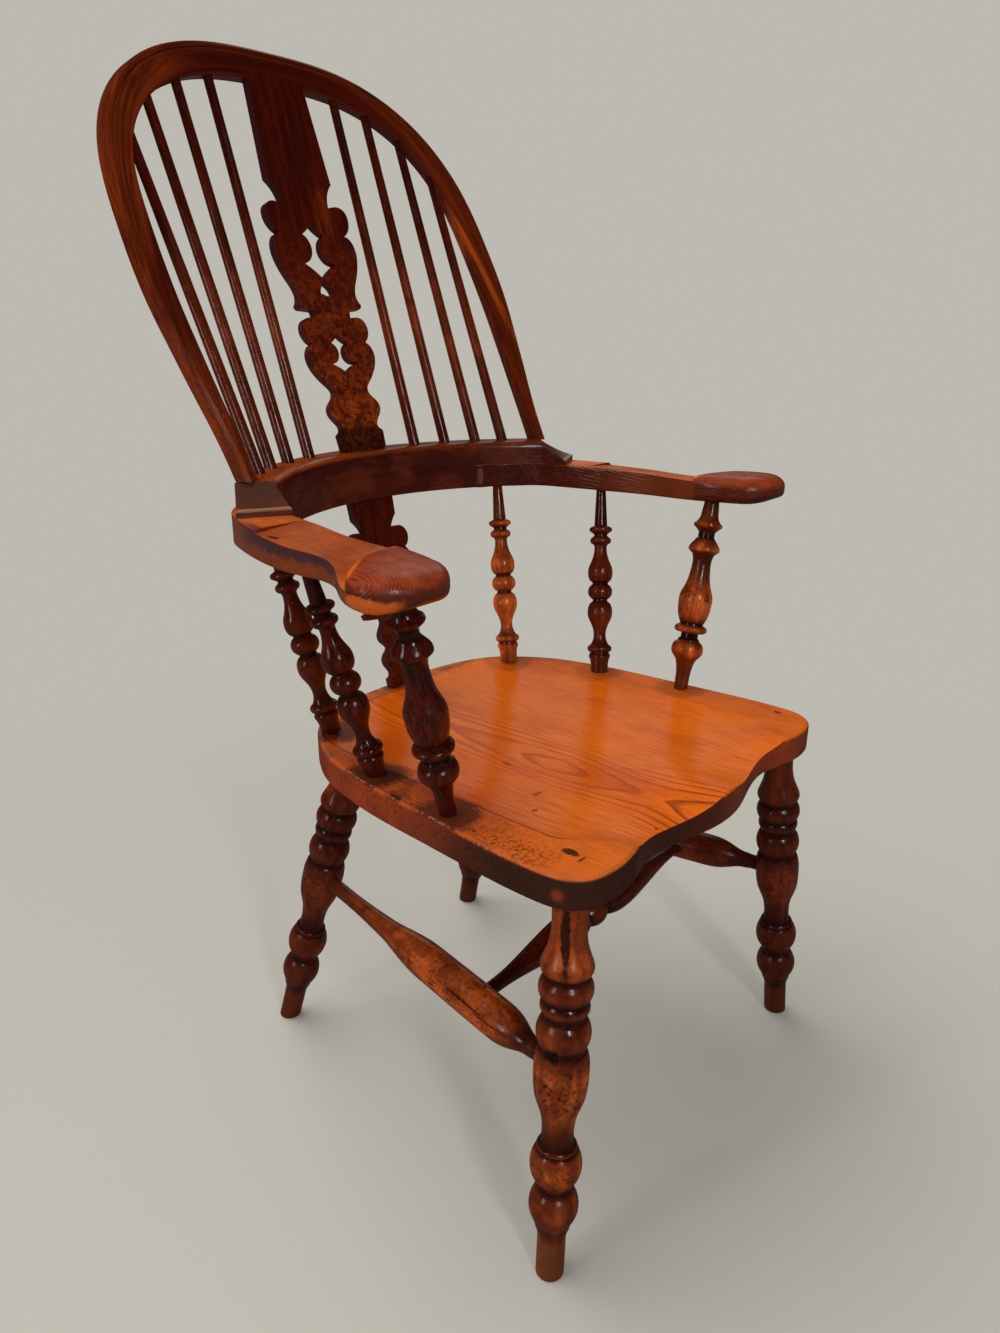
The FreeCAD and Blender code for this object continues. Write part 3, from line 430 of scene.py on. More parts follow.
def axis_of(node):
    """Foot point, direction and length of a turned piece, pointing up or towards +X or +Y."""
    points = np.array([v.co for v in NODES[node].data.vertices], float)
    middle = (points.max(0) + points.min(0)) / 2
    _, _, ways = np.linalg.svd(points - points.mean(0), full_matrices=False)
    way = ways[0]
    key = 2 if abs(way[2]) >= MAIN_SHARE else int(np.argmax(np.abs(way) > MAIN_SHARE))
    way = way if way[key] > 0 else -way
    flat = points - np.outer((points - middle) @ way, way)
    centre = (flat.max(0) + flat.min(0)) / 2
    centre = centre - way * ((centre - middle) @ way)
    along = (points - centre) @ way
    return Vector(centre + way * along.min()), Vector(way), float(along.max() - along.min())


def upright_axis(node, low, high):
    """Axis of a standing turned piece between two heights: its foot point, direction and length."""
    foot, way, _ = axis_of(node)
    return foot + way * ((low - foot.z) / way.z), way, (high - low) / way.z


# The seat

# Saddle: its widest part, the squareness of its outline, and how much the front corners draw it in
SADDLE_MIDDLE = -0.02
SADDLE_SQUARENESS = 5.0
CORNER_DRAW = 1.22

# The log's heart: where it lies across the board, how deep it lies at least, and how much that changes
HEART_X = -0.048
HEART_DEPTH_LEAST = 0.03
HEART_DEPTH_RANGE = 0.0125

# How deep the heart lies, from the front edge of the seat to the back, both in percent
HEART_DEPTH = [
    (0, 25), (2.1, 42), (7.5, 80), (12.5, 100), (20.8, 78), (29.2, 34), (38.5, 0), (46.9, 30), (59.4, 66),
    (69.8, 86), (100, 100),
]

# Marks in the seat: middle and half size in x and y from the chair's own middle, and strength
SEAT_MARKS = [
    (-0.199, -0.228, 0.0055, 0.01, 1.0), (-0.203, -0.243, 0.006, 0.0016, 0.9),
    (0.222, -0.227, 0.004, 0.005, 0.8), (-0.228, -0.036, 0.006, 0.011, 0.9),
    (-0.1, -0.256, 0.0016, 0.0016, 1.0), (-0.15, -0.15, 0.005, 0.0022, 0.7),
    (-0.118, -0.128, 0.008, 0.0026, 0.6), (-0.083, -0.06, 0.003, 0.007, 0.6),
]

# Rings of dirt round the feet of the arm supports: how far they reach, and how strong they are
FOOT_RING_REACH = 0.036
FOOT_RING_STRENGTH = {"left": 0.35, "right": 0.85}

# Worm holes beside the near post: middle and half size. Knot in the near front corner of the side
WORM_HOLES = (-0.208, -0.172), (0.009, 0.03)
SIDE_KNOT = (-0.2391, -0.244, 0.412)


def saddle_level(net, x, y, half_width, finish):
    """How far out a point of the seat lies: 0 in the middle of the saddle and 1 where the rim begins."""
    half = half_width - finish.rim_side
    reach = SEAT_BACK - SADDLE_MIDDLE - finish.rim_back
    corner = net.step(y, -0.196, -0.266, 1.0, CORNER_DRAW)
    across = net.over(net.times(net.maths("ABSOLUTE", x), corner), half)
    behind = net.over(net.most(net.plus(y, -SADDLE_MIDDLE), 0.0), reach)
    return net.plus(*(net.maths("POWER", share, SADDLE_SQUARENESS) for share in (across, behind)))


def elm_rings(net, y, finish):
    """The board's growth rings."""
    share = net.over(net.plus(y, SEAT_FRONT), SEAT_LENGTH)
    depth = net.bands(share, [(place, value, value, value) for place, value in HEART_DEPTH])[0]
    heart = net.built_up(HEART_DEPTH_LEAST, (depth, HEART_DEPTH_RANGE))
    sawn = net.measured_from((HEART_X, HOME_Y, SEAT_TOP))
    return net.group("Growth rings", Position=sawn, Ring_Gap=finish.ring_gap, Depth=heart)


def elm_board(net, rings, finish):
    """Gold wood with amber rings and pores, clouded, and redder towards the worn side."""
    place, x, y, _ = chair_place(net)
    cloud = net.noise(net.vector("MULTIPLY", place, (1.0, 0.35, 1.0)), 22.0, 4.0, 0.6)
    return net.coats(finish.gold, [
        (finish.amber, rings["Ring"], 0.25),
        (finish.amber, rings["Line"], 0.7),
        (finish.amber, rings["Pore"], 0.42),
        (finish.russet, net.step(cloud, 0.42, 0.7, 0.0, 0.45)),
        (finish.russet, net.step(x, -0.04, -0.2, 0.0, 0.6), net.step(y, -0.2, -0.09)),
    ])


def dull_rim(net, rim, rings, finish):
    """The rim's own colour, dusty behind, and the masks of what is left of it between the rubbed places."""
    place, x, y, _ = chair_place(net)
    back = net.step(y, 0.02, 0.12)
    colour = net.coats(finish.rim, [(finish.dusty, back), (finish.grime, rings["Pore"], 0.6)])
    clean = net.most(net.step(y, -0.02, -0.15, 0.15, 0.85), net.step(x, -0.05, 0.1, 0.0, 0.95))
    clean = net.times(clean, net.minus(1.0, net.times(back, 0.8)))
    stain = net.step(net.noise(place, 48.0, 3.0), 0.4, 0.6, 0.4, 1.0)
    return colour, rim, net.minus(1.0, clean), stain


def foot_rings():
    """Rings of dirt round the arm supports, in the form of SEAT_MARKS."""
    rows = []
    for side in SIDES:
        for support in SUPPORTS:
            foot = upright_axis(f"{support}_{side}", SEAT_TOP, ARM_UNDERSIDE)[0]
            rows.append((foot.x, foot.y - HOME_Y, FOOT_RING_REACH, FOOT_RING_REACH, FOOT_RING_STRENGTH[side]))
    return rows


def seat_dirt(net, outer_rim, ragged, polish):
    """Dirt on the near rim, round the supports, in the marks, the worm holes and the pits."""
    place, x, y, _ = chair_place(net)
    dirt = net.times(net.step(ragged, 0.5, 0.6), *outer_rim)
    for mark_x, mark_y, reach_x, reach_y, strength in (*foot_rings(), *SEAT_MARKS):
        mark = net.spot(x, y, (mark_x, mark_y), (reach_x, reach_y), ragged)
        dirt = net.most(dirt, net.times(mark, strength))
    hole = net.step(net.cells(place, 260.0), 0.2, 0.12)
    holes = net.times(hole, net.spot(x, y, *WORM_HOLES, ragged))
    return net.most(dirt, net.most(holes, net.times(polish["Pit"], 0.25)))


def board_side(net, near, ragged, polish, finish):
    """The sides of the board: nearly black in the near front corner, warmer behind it and on the far side."""
    place, x, y, _ = chair_place(net)
    warm = net.most(net.times(near, net.step(y, -0.2, 0.02)), net.step(x, -0.1, 0.1, 0.0, 0.9))
    knot = net.step(net.vector("DISTANCE", place, SIDE_KNOT), 0.009, 0.0015)
    return net.coats(finish.edge, [
        (finish.russet, warm, 0.7),
        (finish.edge, polish["Patch"], 0.55),
        (finish.grime, net.step(ragged, 0.52, 0.66), 0.6),
        (finish.russet, knot, 0.45),
    ])


def elm_seat(net, node, finish):
    """Ringed elm in the saddle, a dull and dirty rim, and dark sides, with a painted highlight along the
    upper edge and painted shade underneath.
    """
    place, x, y, _ = chair_place(net)
    up = net.facing()[2]
    near = net.step(x, 0.04, -0.12)
    level = saddle_level(net, x, y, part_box(node)[1].x, finish)
    rim = net.step(level, 0.9, 1.1)
    gutter = (
        net.step(level, 0.94, 0.985), net.step(level, 1.04, 1.0),
        net.step(x, 0.05, -0.08, 0.25, 1.0), net.step(y, -0.232, -0.205, 0.15, 1.0),
    )
    rings = elm_rings(net, y, finish)
    ragged = net.noise(place, 260.0, 4.0, 0.7)
    polish = net.group("Old polish", Position=place, Patch_Size=0.1, Fleck_Size=0.0045, Flecks=0.35)
    outer_rim = (
        rim, near, net.step(y, -0.245, -0.2), net.step(y, 0.08, 0.02),
        net.step(level, 1.3, 2.6, 0.25, 0.8),
    )
    dirt = seat_dirt(net, outer_rim, ragged, polish)
    side = net.step(up, 0.75, 0.3)
    # Painted highlight along the rounded upper edge of the board, stronger towards the near side.
    edge_sheen = (
        net.step(up, 0.985, 0.93), net.step(up, 0.62, 0.8), net.step(ragged, 0.46, 0.56),
        net.step(x, 0.0, -0.1, 0.15, 0.75),
    )
    wood = net.coats(elm_board(net, rings, finish), [
        dull_rim(net, rim, rings, finish),
        (finish.edge, *gutter, 0.75),
        (finish.edge, rings["Line"], net.step(y, -0.215, -0.262), 0.45),
        (finish.grime, dirt, 0.9),
        (board_side(net, near, ragged, polish, finish), side),
        (finish.edge_highlight, *edge_sheen),
        # Painted shade: the board turns darker where its face turns down, underneath.
        (finish.edge, net.step(up, -0.5, -0.9, 0.0, 0.6)),
    ])
    rough = net.built_up(finish.gloss, (rim, 0.28), (side, 0.16), (dirt, 0.25))
    height = net.plus(net.times(rings["Pore"], -0.5), net.times(dirt, -1.6))
    return wood, rough, height, SEAT_RELIEF, SEAT_SHINE


# Turned pieces

# Bands along the turnings in percent: share of the way up, dirt, rubbed brightness, flecks
LEG_BANDS = [
    (0, 10, 60, 30), (10, 10, 50, 30), (13.3, 65, 30, 20), (19, 0, 55, 55), (23.5, 20, 35, 40),
    (24.8, 100, 0, 0), (26.2, 20, 50, 60), (31, 0, 80, 85), (34.4, 15, 50, 40), (35.3, 90, 10, 0),
    (35.8, 25, 45, 0), (36.6, 90, 10, 0), (41, 35, 35, 30), (46, 0, 75, 75), (53, 0, 100, 100),
    (58, 5, 75, 90), (60.9, 35, 35, 30), (62.2, 100, 0, 0), (63.6, 20, 30, 20), (66, 0, 50, 25),
    (69.2, 35, 20, 10), (70.3, 100, 0, 0), (72.5, 5, 35, 10), (74.25, 100, 0, 0), (77, 0, 42, 10),
    (79.6, 40, 20, 0), (80.4, 100, 0, 0), (82, 10, 65, 55), (85, 0, 80, 55), (90, 0, 60, 20),
    (100, 10, 50, 10),
]
POST_BANDS = [
    (0, 60, 30, 20), (10, 35, 35, 10), (16, 20, 60, 20), (21.3, 0, 100, 45), (25, 30, 60, 20),
    (27, 90, 15, 0), (29.7, 100, 0, 0), (30.5, 25, 60, 20), (32.2, 0, 100, 30), (34.2, 40, 50, 10),
    (34.9, 100, 0, 0), (38, 15, 75, 50), (45, 0, 100, 80), (52, 0, 80, 80), (60, 25, 35, 30),
    (69, 50, 20, 10), (72.2, 70, 20, 0), (74.2, 5, 60, 10), (79, 35, 35, 0), (81, 100, 5, 0),
    (83.5, 80, 15, 0), (87.3, 0, 55, 10), (90, 40, 30, 0), (100, 60, 20, 0),
]
SPINDLE_BANDS = [
    (0, 45, 60, 20), (5, 10, 75, 20), (7.8, 0, 95, 10), (10, 65, 30, 0), (12.3, 0, 95, 10),
    (14.5, 70, 40, 0), (19, 10, 55, 20), (25, 0, 75, 30), (33, 0, 100, 40), (37.5, 25, 60, 10),
    (39, 100, 10, 0), (40.5, 25, 70, 10), (44, 0, 100, 10), (47.4, 30, 60, 0), (48.6, 100, 10, 0),
    (50.5, 20, 75, 10), (54, 0, 100, 40), (61, 5, 80, 30), (68, 20, 50, 10), (70, 60, 40, 0),
    (71.8, 0, 90, 10), (73.8, 40, 50, 0), (74.8, 100, 10, 0), (76.3, 30, 50, 0), (78, 0, 80, 10),
    (79.7, 70, 30, 0), (100, 50, 35, 0),
]
STICK_BANDS = [
    (0, 40, 30, 10), (10, 30, 35, 10), (20, 10, 70, 10), (38, 0, 90, 20), (52, 0, 70, 20), (66, 10, 35, 30),
    (80, 20, 15, 20), (100, 30, 10, 10),
]
# The same for the side stretcher from its front end, and for the whole length of the cross stretcher
SIDE_BANDS = [
    (0, 70, 10, 0), (10, 50, 20, 20), (15, 10, 75, 80), (25, 0, 100, 90), (48, 0, 100, 70),
    (56, 10, 75, 40), (66, 35, 40, 20), (100, 60, 20, 0),
]
CROSS_BANDS = [
    (0, 60, 20, 10), (30, 15, 45, 20), (44.5, 25, 30, 10), (45.5, 100, 0, 0), (47, 10, 50, 10),
    (50, 0, 70, 10), (53, 10, 50, 10), (54.5, 100, 0, 0), (55.5, 25, 30, 10), (70, 15, 45, 20),
    (100, 60, 20, 10),
]

# How much of the stain is rubbed off. Above 1 the bare wood is painted pale as well, as painted light over
# the piece
RUB_AND_LIGHT = {
    "leg_front_right": 1.3, "leg_front_left": 0.45, "leg_rear_right": 0.55, "leg_rear_left": 0.4,
    "side_stretcher_right": 1.35, "side_stretcher_left": 0.45, "cross_stretcher": 0.3,
    "arm_post_left": 1.6, "arm_post_right": 0.06, "arm_spindle_mid_left": 0.5,
    "arm_spindle_mid_right": 0.08, "arm_spindle_rear_left": 2.0, "arm_spindle_rear_right": 0.45,
    **{stick: 0.75 if stick.endswith("left") else 0.55 for stick in STICKS},
}
# How matt the unpolished feet of the legs are
MATT_FEET = {"leg_front_right": 0.9, "leg_front_left": 0.3, "leg_rear_right": 0.3, "leg_rear_left": 0.3}

# Dark marks on turned pieces: direction across, and each mark's middle and half size across and upwards
TURNED_MARKS = {
    "leg_front_right": ((0.638, -0.77), [
        ((0.044, 0.366), (0.005, 0.036)), ((0.035, 0.252), (0.006, 0.009)),
    ]),
    "side_stretcher_right": ((0.0, 1.0), [
        ((-0.122, 0.2302), (0.04, 0.001)), ((-0.156, 0.228), (0.026, 0.0008)),
        ((-0.07, 0.2215), (0.006, 0.0014)), ((-0.1, 0.2195), (0.005, 0.0012)),
    ]),
}


def dark_marks(net, node, finish):
    """Coats for the dark marks on a turned piece."""
    if node not in TURNED_MARKS:
        return []
    (across_x, across_y), marks = TURNED_MARKS[node]
    _, x, y, z = chair_place(net)
    across = net.plus(net.times(x, across_x), net.times(y, across_y))
    ragged = net.noise(net.position(), 160.0, 4.0, 0.7)
    return [(finish.dark, net.spot(across, z, *mark, ragged), 0.9) for mark in marks]


def turned_wood(net, node, finish, axis, bands):
    """Stained wood, dark in the hollows and rubbed bare on the proud turnings, with painted light that turns
    the bare wood pale on some pieces.
    """
    foot, way, length = axis
    rub_and_light = RUB_AND_LIGHT[node]
    place = net.position()
    wear = net.group("Turned wear", Position=place, Foot=foot, Axis=way, Length=length)
    polish = net.group("Old polish", Position=place, Patch_Size=0.03, Fleck_Size=0.004, Flecks=1.0)
    dirt, rubbed, flecked = net.bands(wear["Share"], bands)
    uneven = net.built_up(0.4, (polish["Patch"], 0.6))
    stripe = net.built_up(0.45, (wear["Stripe"], 0.55))
    bare = net.coats(finish.bright, [
        # Painted light: above 1 the bare wood is painted pale.
        (finish.pale, max(rub_and_light - 1.0, 0.0)),
        (finish.red, wear["Streak"], 0.45),
    ])
    specks = net.times(polish["Fleck"], flecked, net.step(polish["Patch"], 1.0, 0.2, 0.6, 1.0))
    sole = net.step(wear["Share"], 0.115, 0.085, 0.0, MATT_FEET.get(node, 0.0))
    wood = net.coats(finish.dark, [
        (finish.red, net.step(wear["Streak"], 0.0, 1.0, 0.15, 0.85)),
        (bare, rubbed, uneven, stripe, rub_and_light),
        (finish.dark, specks, 0.92),
        (finish.dark, dirt, 0.9),
        *dark_marks(net, node, finish),
        (finish.matt, sole, 0.7),
    ])
    rough = net.built_up(finish.gloss, (polish["Patch"], 0.1), (sole, 0.25), (specks, 0.2))
    return wood, rough, wear["Height"], WOOD_RELIEF, TURNED_SHINE


def dress_turned(node, bands, axis=None):
    dress(node, turned_wood, "chair_turned", axis or axis_of(node), bands)


# Arm bow

# Gap between the fine stripes across the arms and pads, and how far they swing, in metres
STRIPE_GAP = 0.0026
STRIPE_SWING = 0.014

# Rear edge of the pads, from inside to outside: distance from the middle of the chair, and y
PAD_EDGE_OUT = (0.277, 0.353)
PAD_EDGE_Y = (-0.08, -0.118)

# Painted sheen band along the outer edge of the arms: where it begins and is full, and how ragged its edge is
SHEEN_BAND_Z = (0.67, 0.678)
SHEEN_BAND_JAG = 0.022

# Patch of sapwood beside the near pad in y and z, its knot, and the short crack in the near arm in x and y
SAPWOOD = (-0.138, 0.669), (0.026, 0.0085)
SAPWOOD_KNOT = (-0.342, -0.142, 0.668)
KNOT_RINGS = 3000.0
ARM_CRACK = (-0.288, 0.044), (0.003, 0.0085)

# Worn joint of the far arm and the rail, in x and z
WORN_JOINT = (0.1485, 0.676), (0.0035, 0.011)


def straight_wood(net, place, along, finish, scale, wander):
    """Dark and red streaks along one direction, with their grain, and the polish over them."""
    grain = net.group("Straight grain", Position=place, Along=along, Scale=scale, Wander=wander)
    polish = net.group("Old polish", Position=net.position(), Patch_Size=0.07, Fleck_Size=0.006, Flecks=0.35)
    wood = net.blend(net.step(grain["Streak"], 0.0, 1.0, 0.4, 0.95), finish.dark, finish.red)
    return wood, grain, polish


def fine_stripes(net, out):
    """Fine stripes that run across the arms and round the pads."""
    place, _, y, z = chair_place(net)
    swing = net.times(net.noise(place, 9.0, 2.0), STRIPE_SWING)
    run = net.plus(net.built_up(out, (y, 0.16)), net.plus(net.times(z, 0.6), swing))
    wave = net.maths("SINE", net.times(run, 2.0 * pi / STRIPE_GAP))
    return net.times(net.step(wave, 0.0, 1.0), net.step(net.noise(place, 60.0, 2.0), 0.3, 0.6))


def near_arm_marks(net, top, finish):
    """Sapwood with a knot beside the pad, and a short crack in the top."""
    place, x, y, z = chair_place(net)
    knot = net.maths("SINE", net.times(net.vector("DISTANCE", place, SAPWOOD_KNOT), KNOT_RINGS))
    sapwood = net.blend(net.step(knot, 0.2, 0.9, 0.2, 0.42), finish.orange, finish.red)
    patch = net.spot(y, z, *SAPWOOD, net.noise(place, 45.0, 4.0, 0.6))
    crack = net.spot(x, y, *ARM_CRACK, net.noise(place, 420.0, 3.0, 0.7))
    return [(sapwood, patch, net.step(x, -0.322, -0.338), 0.75), (finish.dark, crack, top, 0.85)]


def far_arm_marks(net, finish):
    """Pale wood where the far arm meets the rail."""
    place, x, y, z = chair_place(net)
    worn = net.spot(x, z, *WORN_JOINT, net.noise(place, 120.0, 4.0, 0.6))
    return [(finish.pale, worn, net.step(y, 0.15, 0.16), 0.22)]


def arm_wood(net, node, finish):
    """Arm with a striped pad in painted shade towards its front, an orange top, a painted sheen along the
    outer edge and dark sides.
    """
    near = node == "arm_right"
    sign = -1.0 if near else 1.0
    place, x, y, z = chair_place(net)
    facing_x, _, up = net.facing()
    out, outwards = net.times(x, sign), net.times(facing_x, sign)
    base, grain, polish = straight_wood(net, place, (-0.16 * sign, 0.987, 0.0), finish, 1.0, 1.6)
    stripes = fine_stripes(net, out)
    uneven = net.built_up(0.7, (polish["Patch"], 0.3))

    top = net.step(up, 0.55, 0.9)
    bare = net.coats(finish.orange, [(finish.red, grain["Streak"], 0.26), (finish.red, stripes, 0.35)])
    inner = net.times(net.step(up, 0.6, 0.3), net.step(outwards, 0.1, -0.2))
    jag = net.times(net.minus(net.noise(place, 80.0, 4.0, 0.7), 0.5), SHEEN_BAND_JAG)
    # Painted purple sheen along the rounded outer edge of the arm, strong on the near arm.
    edge_sheen = (
        net.step(net.plus(z, jag), *SHEEN_BAND_Z), net.step(outwards, 0.02, 0.12),
        net.step(y, -0.1, -0.07), net.step(y, 0.14, 0.06), 0.85 if near else 0.2,
    )
    pad_edge = net.step(out, *PAD_EDGE_OUT, *PAD_EDGE_Y)
    pad = net.step(net.minus(y, pad_edge), 0.0015, -0.0015)
    pad_wood = net.coats(finish.pad, [
        (finish.red, stripes, 0.8),
        (finish.red, grain["Streak"], 0.35),
        # Painted shade: the pad darkens as its face turns from up to down.
        (finish.dark, net.step(up, 0.8, -0.3, 0.0, 0.85)),
    ])
    marks = near_arm_marks(net, top, finish) if near else far_arm_marks(net, finish)
    wood = net.coats(base, [
        (finish.olive, 0.55),
        (finish.bright, uneven, 0.25),
        (bare, top, uneven),
        (base, inner, net.step(y, -0.02, 0.13, 0.35, 1.0)),
        (finish.plum_sheen, *edge_sheen),
        (pad_wood, pad, 0.95),
        *marks,
        (finish.dark, grain["Pore"], 0.35),
    ])
    rough = net.built_up(finish.gloss, (polish["Patch"], 0.08))
    height = net.plus(grain["Height"], net.times(stripes, -0.8))
    return wood, rough, height, WOOD_RELIEF, BOW_SHINE


# Rail and crest: side of the chair, which is -1 near, 0 in the middle and 1 far, and warmth of the top
BOW_PIECES = {
    "arm_rail": (0, 0.2), "crest_centre": (0, 0.75), "crest_end_right": (-1, 0.8), "crest_end_left": (1, 0.5),
}

# Lip at the end of a ramp: its middle, out and y, the turn of its edge in plan, and its height on the arm
LIP_MIDDLE = (0.24795, 0.109)
LIP_TURN = radians(26.6)
LIP_Z = (ARM_TOP + 0.0045, ARM_TOP + 0.006)


def ramp_wear(net, up, polish, side, finish):
    """Greyed ramp, and a painted highlight along the top edge of the lip in which it ends."""
    _, x, y, z = chair_place(net)
    out = net.minus(net.times(x, float(side)), LIP_MIDDLE[0])
    behind = net.minus(y, LIP_MIDDLE[1])
    ahead = net.minus(net.times(out, sin(LIP_TURN)), net.times(behind, cos(LIP_TURN)))
    ramp = net.step(up, 0.2, 0.45), net.step(up, 0.985, 0.95), net.step(ahead, -0.05, -0.045)
    soft = net.built_up(0.75, (polish["Patch"], 0.2))
    return [
        (finish.worn, *ramp, soft, 1.0 if side < 0 else 0.5),
        # Painted highlight: a pale line along the top edge of the lip.
        (finish.pale, net.step(ahead, -0.0035, -0.0018), net.step(z, *LIP_Z), 0.75),
    ]


def crest_wood(net, node, finish):
    """Cloudy dark red, lighter on top, with greyed and pale-edged ramps at the sides."""
    side, warm = BOW_PIECES[node]
    place, x, _, _ = chair_place(net)
    up = net.facing()[2]
    along = (0.75, -0.66 * side, 0.0) if side else (1.0, 0.0, 0.0)
    wood, grain, polish = straight_wood(net, place, along, finish, 0.9, 1.8)
    cloud = net.noise(net.vector("MULTIPLY", place, (0.5, 0.5, 1.2)), 34.0, 4.0, 0.6, 0.6)
    bare = net.coats(finish.bright, [(finish.red, grain["Streak"], 0.5)])
    near = net.step(x, 0.1, -0.2, 0.25, 1.0)
    wood = net.coats(wood, [
        (finish.bright, net.step(cloud, 0.42, 0.66), 0.14),
        (finish.dark, grain["Streak"], 0.35),
        (bare, net.step(up, 0.1, 0.85), near, warm),
        *(ramp_wear(net, up, polish, side, finish) if side else ()),
        (finish.dark, polish["Fleck"], 0.22),
    ])
    rough = net.built_up(finish.gloss, (polish["Patch"], 0.08))
    return wood, rough, grain["Height"], WOOD_RELIEF, BOW_SHINE


# Hoop and splats

# The hoop's lean, its foot, the height of its arch along the lean, and the arch's squareness with its root
HOOP_RAKE = radians(27.8)
HOOP_FOOT_Y = 0.1533
HOOP_FOOT_Z = 0.7178
HOOP_SPAN = 0.489
HOOP_SQUARENESS = 3.0
HOOP_ROOT = 0.3333

# The splats: way of the fibres, heights where the mottled figure is full and where it ends, and its warmth
SPLAT_ALONG = (0.0, 0.31, 0.95)
SPLATS = {"splat_upper": (0.84, 1.0, 0.8), "splat_lower": (0.4, 0.7, 0.4)}


def hoop_wood(net, node, finish):
    """Grain bent along the hoop, with painted highlights on the far leg, on the near shoulder and along the
    outer edge, and lighter wood low on the near leg.
    """
    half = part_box(node)[1].x
    upwards = (0.0, sin(HOOP_RAKE), cos(HOOP_RAKE))
    backwards = (0.0, cos(HOOP_RAKE), -sin(HOOP_RAKE))
    place, x, _, _ = chair_place(net)
    offset = net.vector("SUBTRACT", place, (0.0, HOOP_FOOT_Y, HOOP_FOOT_Z))
    rise = net.vector("DOT_PRODUCT", offset, upwards)
    deep = net.vector("DOT_PRODUCT", offset, backwards)
    wide = net.maths("POWER", net.over(net.maths("ABSOLUTE", x), half), HOOP_SQUARENESS)
    tall = net.maths("POWER", net.over(net.most(rise, 0.0), HOOP_SPAN), HOOP_SQUARENESS)
    ring = net.maths("POWER", net.plus(wide, tall), HOOP_ROOT)
    turn = net.maths("ARCTAN2", x, rise)
    bent = net.join(net.times(ring, 0.25), deep, net.times(turn, 0.02))
    wood, grain, polish = straight_wood(net, bent, (0.0, 0.0, 1.0), finish, 1.0, 0.3)

    # Painted highlights: a thin streak along the far leg, the near shoulder's outer edge and the whole outer
    # edge.
    streak = net.times(net.step(ring, 0.925, 0.945), net.step(ring, 0.975, 0.955))
    far_leg = net.times(net.step(x, 0.16, 0.235), net.step(rise, 0.4, 0.28), net.most(streak, 0.2))
    shoulder = net.times(
        net.step(x, -0.08, -0.17), net.step(rise, 0.12, 0.3), net.step(ring, 0.94, 0.97, 0.15, 1.0),
    )
    near_leg = net.times(net.step(x, -0.1, -0.2), net.step(rise, 0.24, 0.1), 0.42)
    edge = net.step(ring, 0.965, 0.99, 0.0, 0.25)
    rubbed = net.most(far_leg, net.times(shoulder, 0.32), near_leg, edge)
    bare = net.coats(finish.bright, [(finish.red, polish["Patch"], 0.3)])
    uneven = net.built_up(0.35, (grain["Streak"], 0.65))
    wood = net.coats(wood, [(bare, rubbed, uneven, 0.8), (finish.dark, polish["Fleck"], 0.6)])
    return wood, finish.gloss - 0.06, grain["Height"], WOOD_RELIEF, HOOP_SHINE


def splat_wood(net, node, finish):
    """Straight dark grain above, mottled burr below, and a nearly black foot where it stands on the crest."""
    figure_from, figure_to, warmth = SPLATS[node]
    place, x, _, z = chair_place(net)
    wood, grain, _ = straight_wood(net, place, SPLAT_ALONG, finish, 0.9, 2.2)
    swirl = net.noise(place, 44.0, 5.0, 0.62, 1.4)
    fine = net.noise(place, 210.0, 4.0, 0.7, 0.8)
    burr = net.plus(net.times(swirl, 0.55), net.times(fine, 0.45))
    figured = net.coats(finish.red, [
        (finish.bright, net.step(burr, 0.4, 0.64, 0.05, 0.75)),
        (finish.dark, net.step(fine, 0.52, 0.38, 0.0, 0.5)),
    ])
    low = net.step(z, figure_from, figure_from - 0.1, 0.55, 1.0)
    rays = (
        net.step(x, 0.006, 0.016), net.step(x, 0.036, 0.028),
        net.step(z, 0.95, 0.97), net.step(z, 1.02, 1.0), grain["Streak"], 0.22,
    )
    # Painted highlight: the plum sheen on the splat's sideways faces.
    sides = net.step(net.maths("ABSOLUTE", net.facing()[0]), 0.35, 0.7)
    coats = [
        (figured, net.step(z, figure_to, figure_from), low, warmth),
        (finish.bright, *rays),
        (finish.plum_sheen, sides, 0.5),
    ]
    if figure_from > HOOP_FOOT_Z:
        coats.append((finish.dark, net.step(z, HOOP_FOOT_Z + 0.034, HOOP_FOOT_Z + 0.022), 0.8))
    return net.coats(wood, coats), finish.gloss - 0.02, grain["Height"], WOOD_RELIEF, SPLAT_SHINE


# Pieces


class PieceOperator:
    bl_options = {"REGISTER", "UNDO"}


class CHAIR_OT_seat(PieceOperator, bpy.types.Operator):
    """Finish the seat board in waxed elm"""

    bl_idname = "chair.seat"
    bl_label = "Seat"

    def execute(self, context):
        dress("seat", elm_seat, "chair_seat", name="old_elm")
        return {"FINISHED"}


class CHAIR_OT_legs(PieceOperator, bpy.types.Operator):
    """Finish the legs and stretchers"""

    bl_idname = "chair.legs"
    bl_label = "Legs and stretchers"

    def execute(self, context):
        seat_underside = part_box("seat")[0].z
        for node in MATT_FEET:
            dress_turned(node, LEG_BANDS, upright_axis(node, 0.0, seat_underside))
        for side in SIDES:
            dress_turned(f"side_stretcher_{side}", SIDE_BANDS)
        dress_turned("cross_stretcher", CROSS_BANDS)
        return {"FINISHED"}


class CHAIR_OT_supports(PieceOperator, bpy.types.Operator):
    """Finish the turned arm supports"""

    bl_idname = "chair.supports"
    bl_label = "Arm supports"

    def execute(self, context):
        for side in SIDES:
            for support in SUPPORTS:
                node = f"{support}_{side}"
                bands = POST_BANDS if support == "arm_post" else SPINDLE_BANDS
                dress_turned(node, bands, upright_axis(node, SEAT_TOP, ARM_UNDERSIDE))
        return {"FINISHED"}


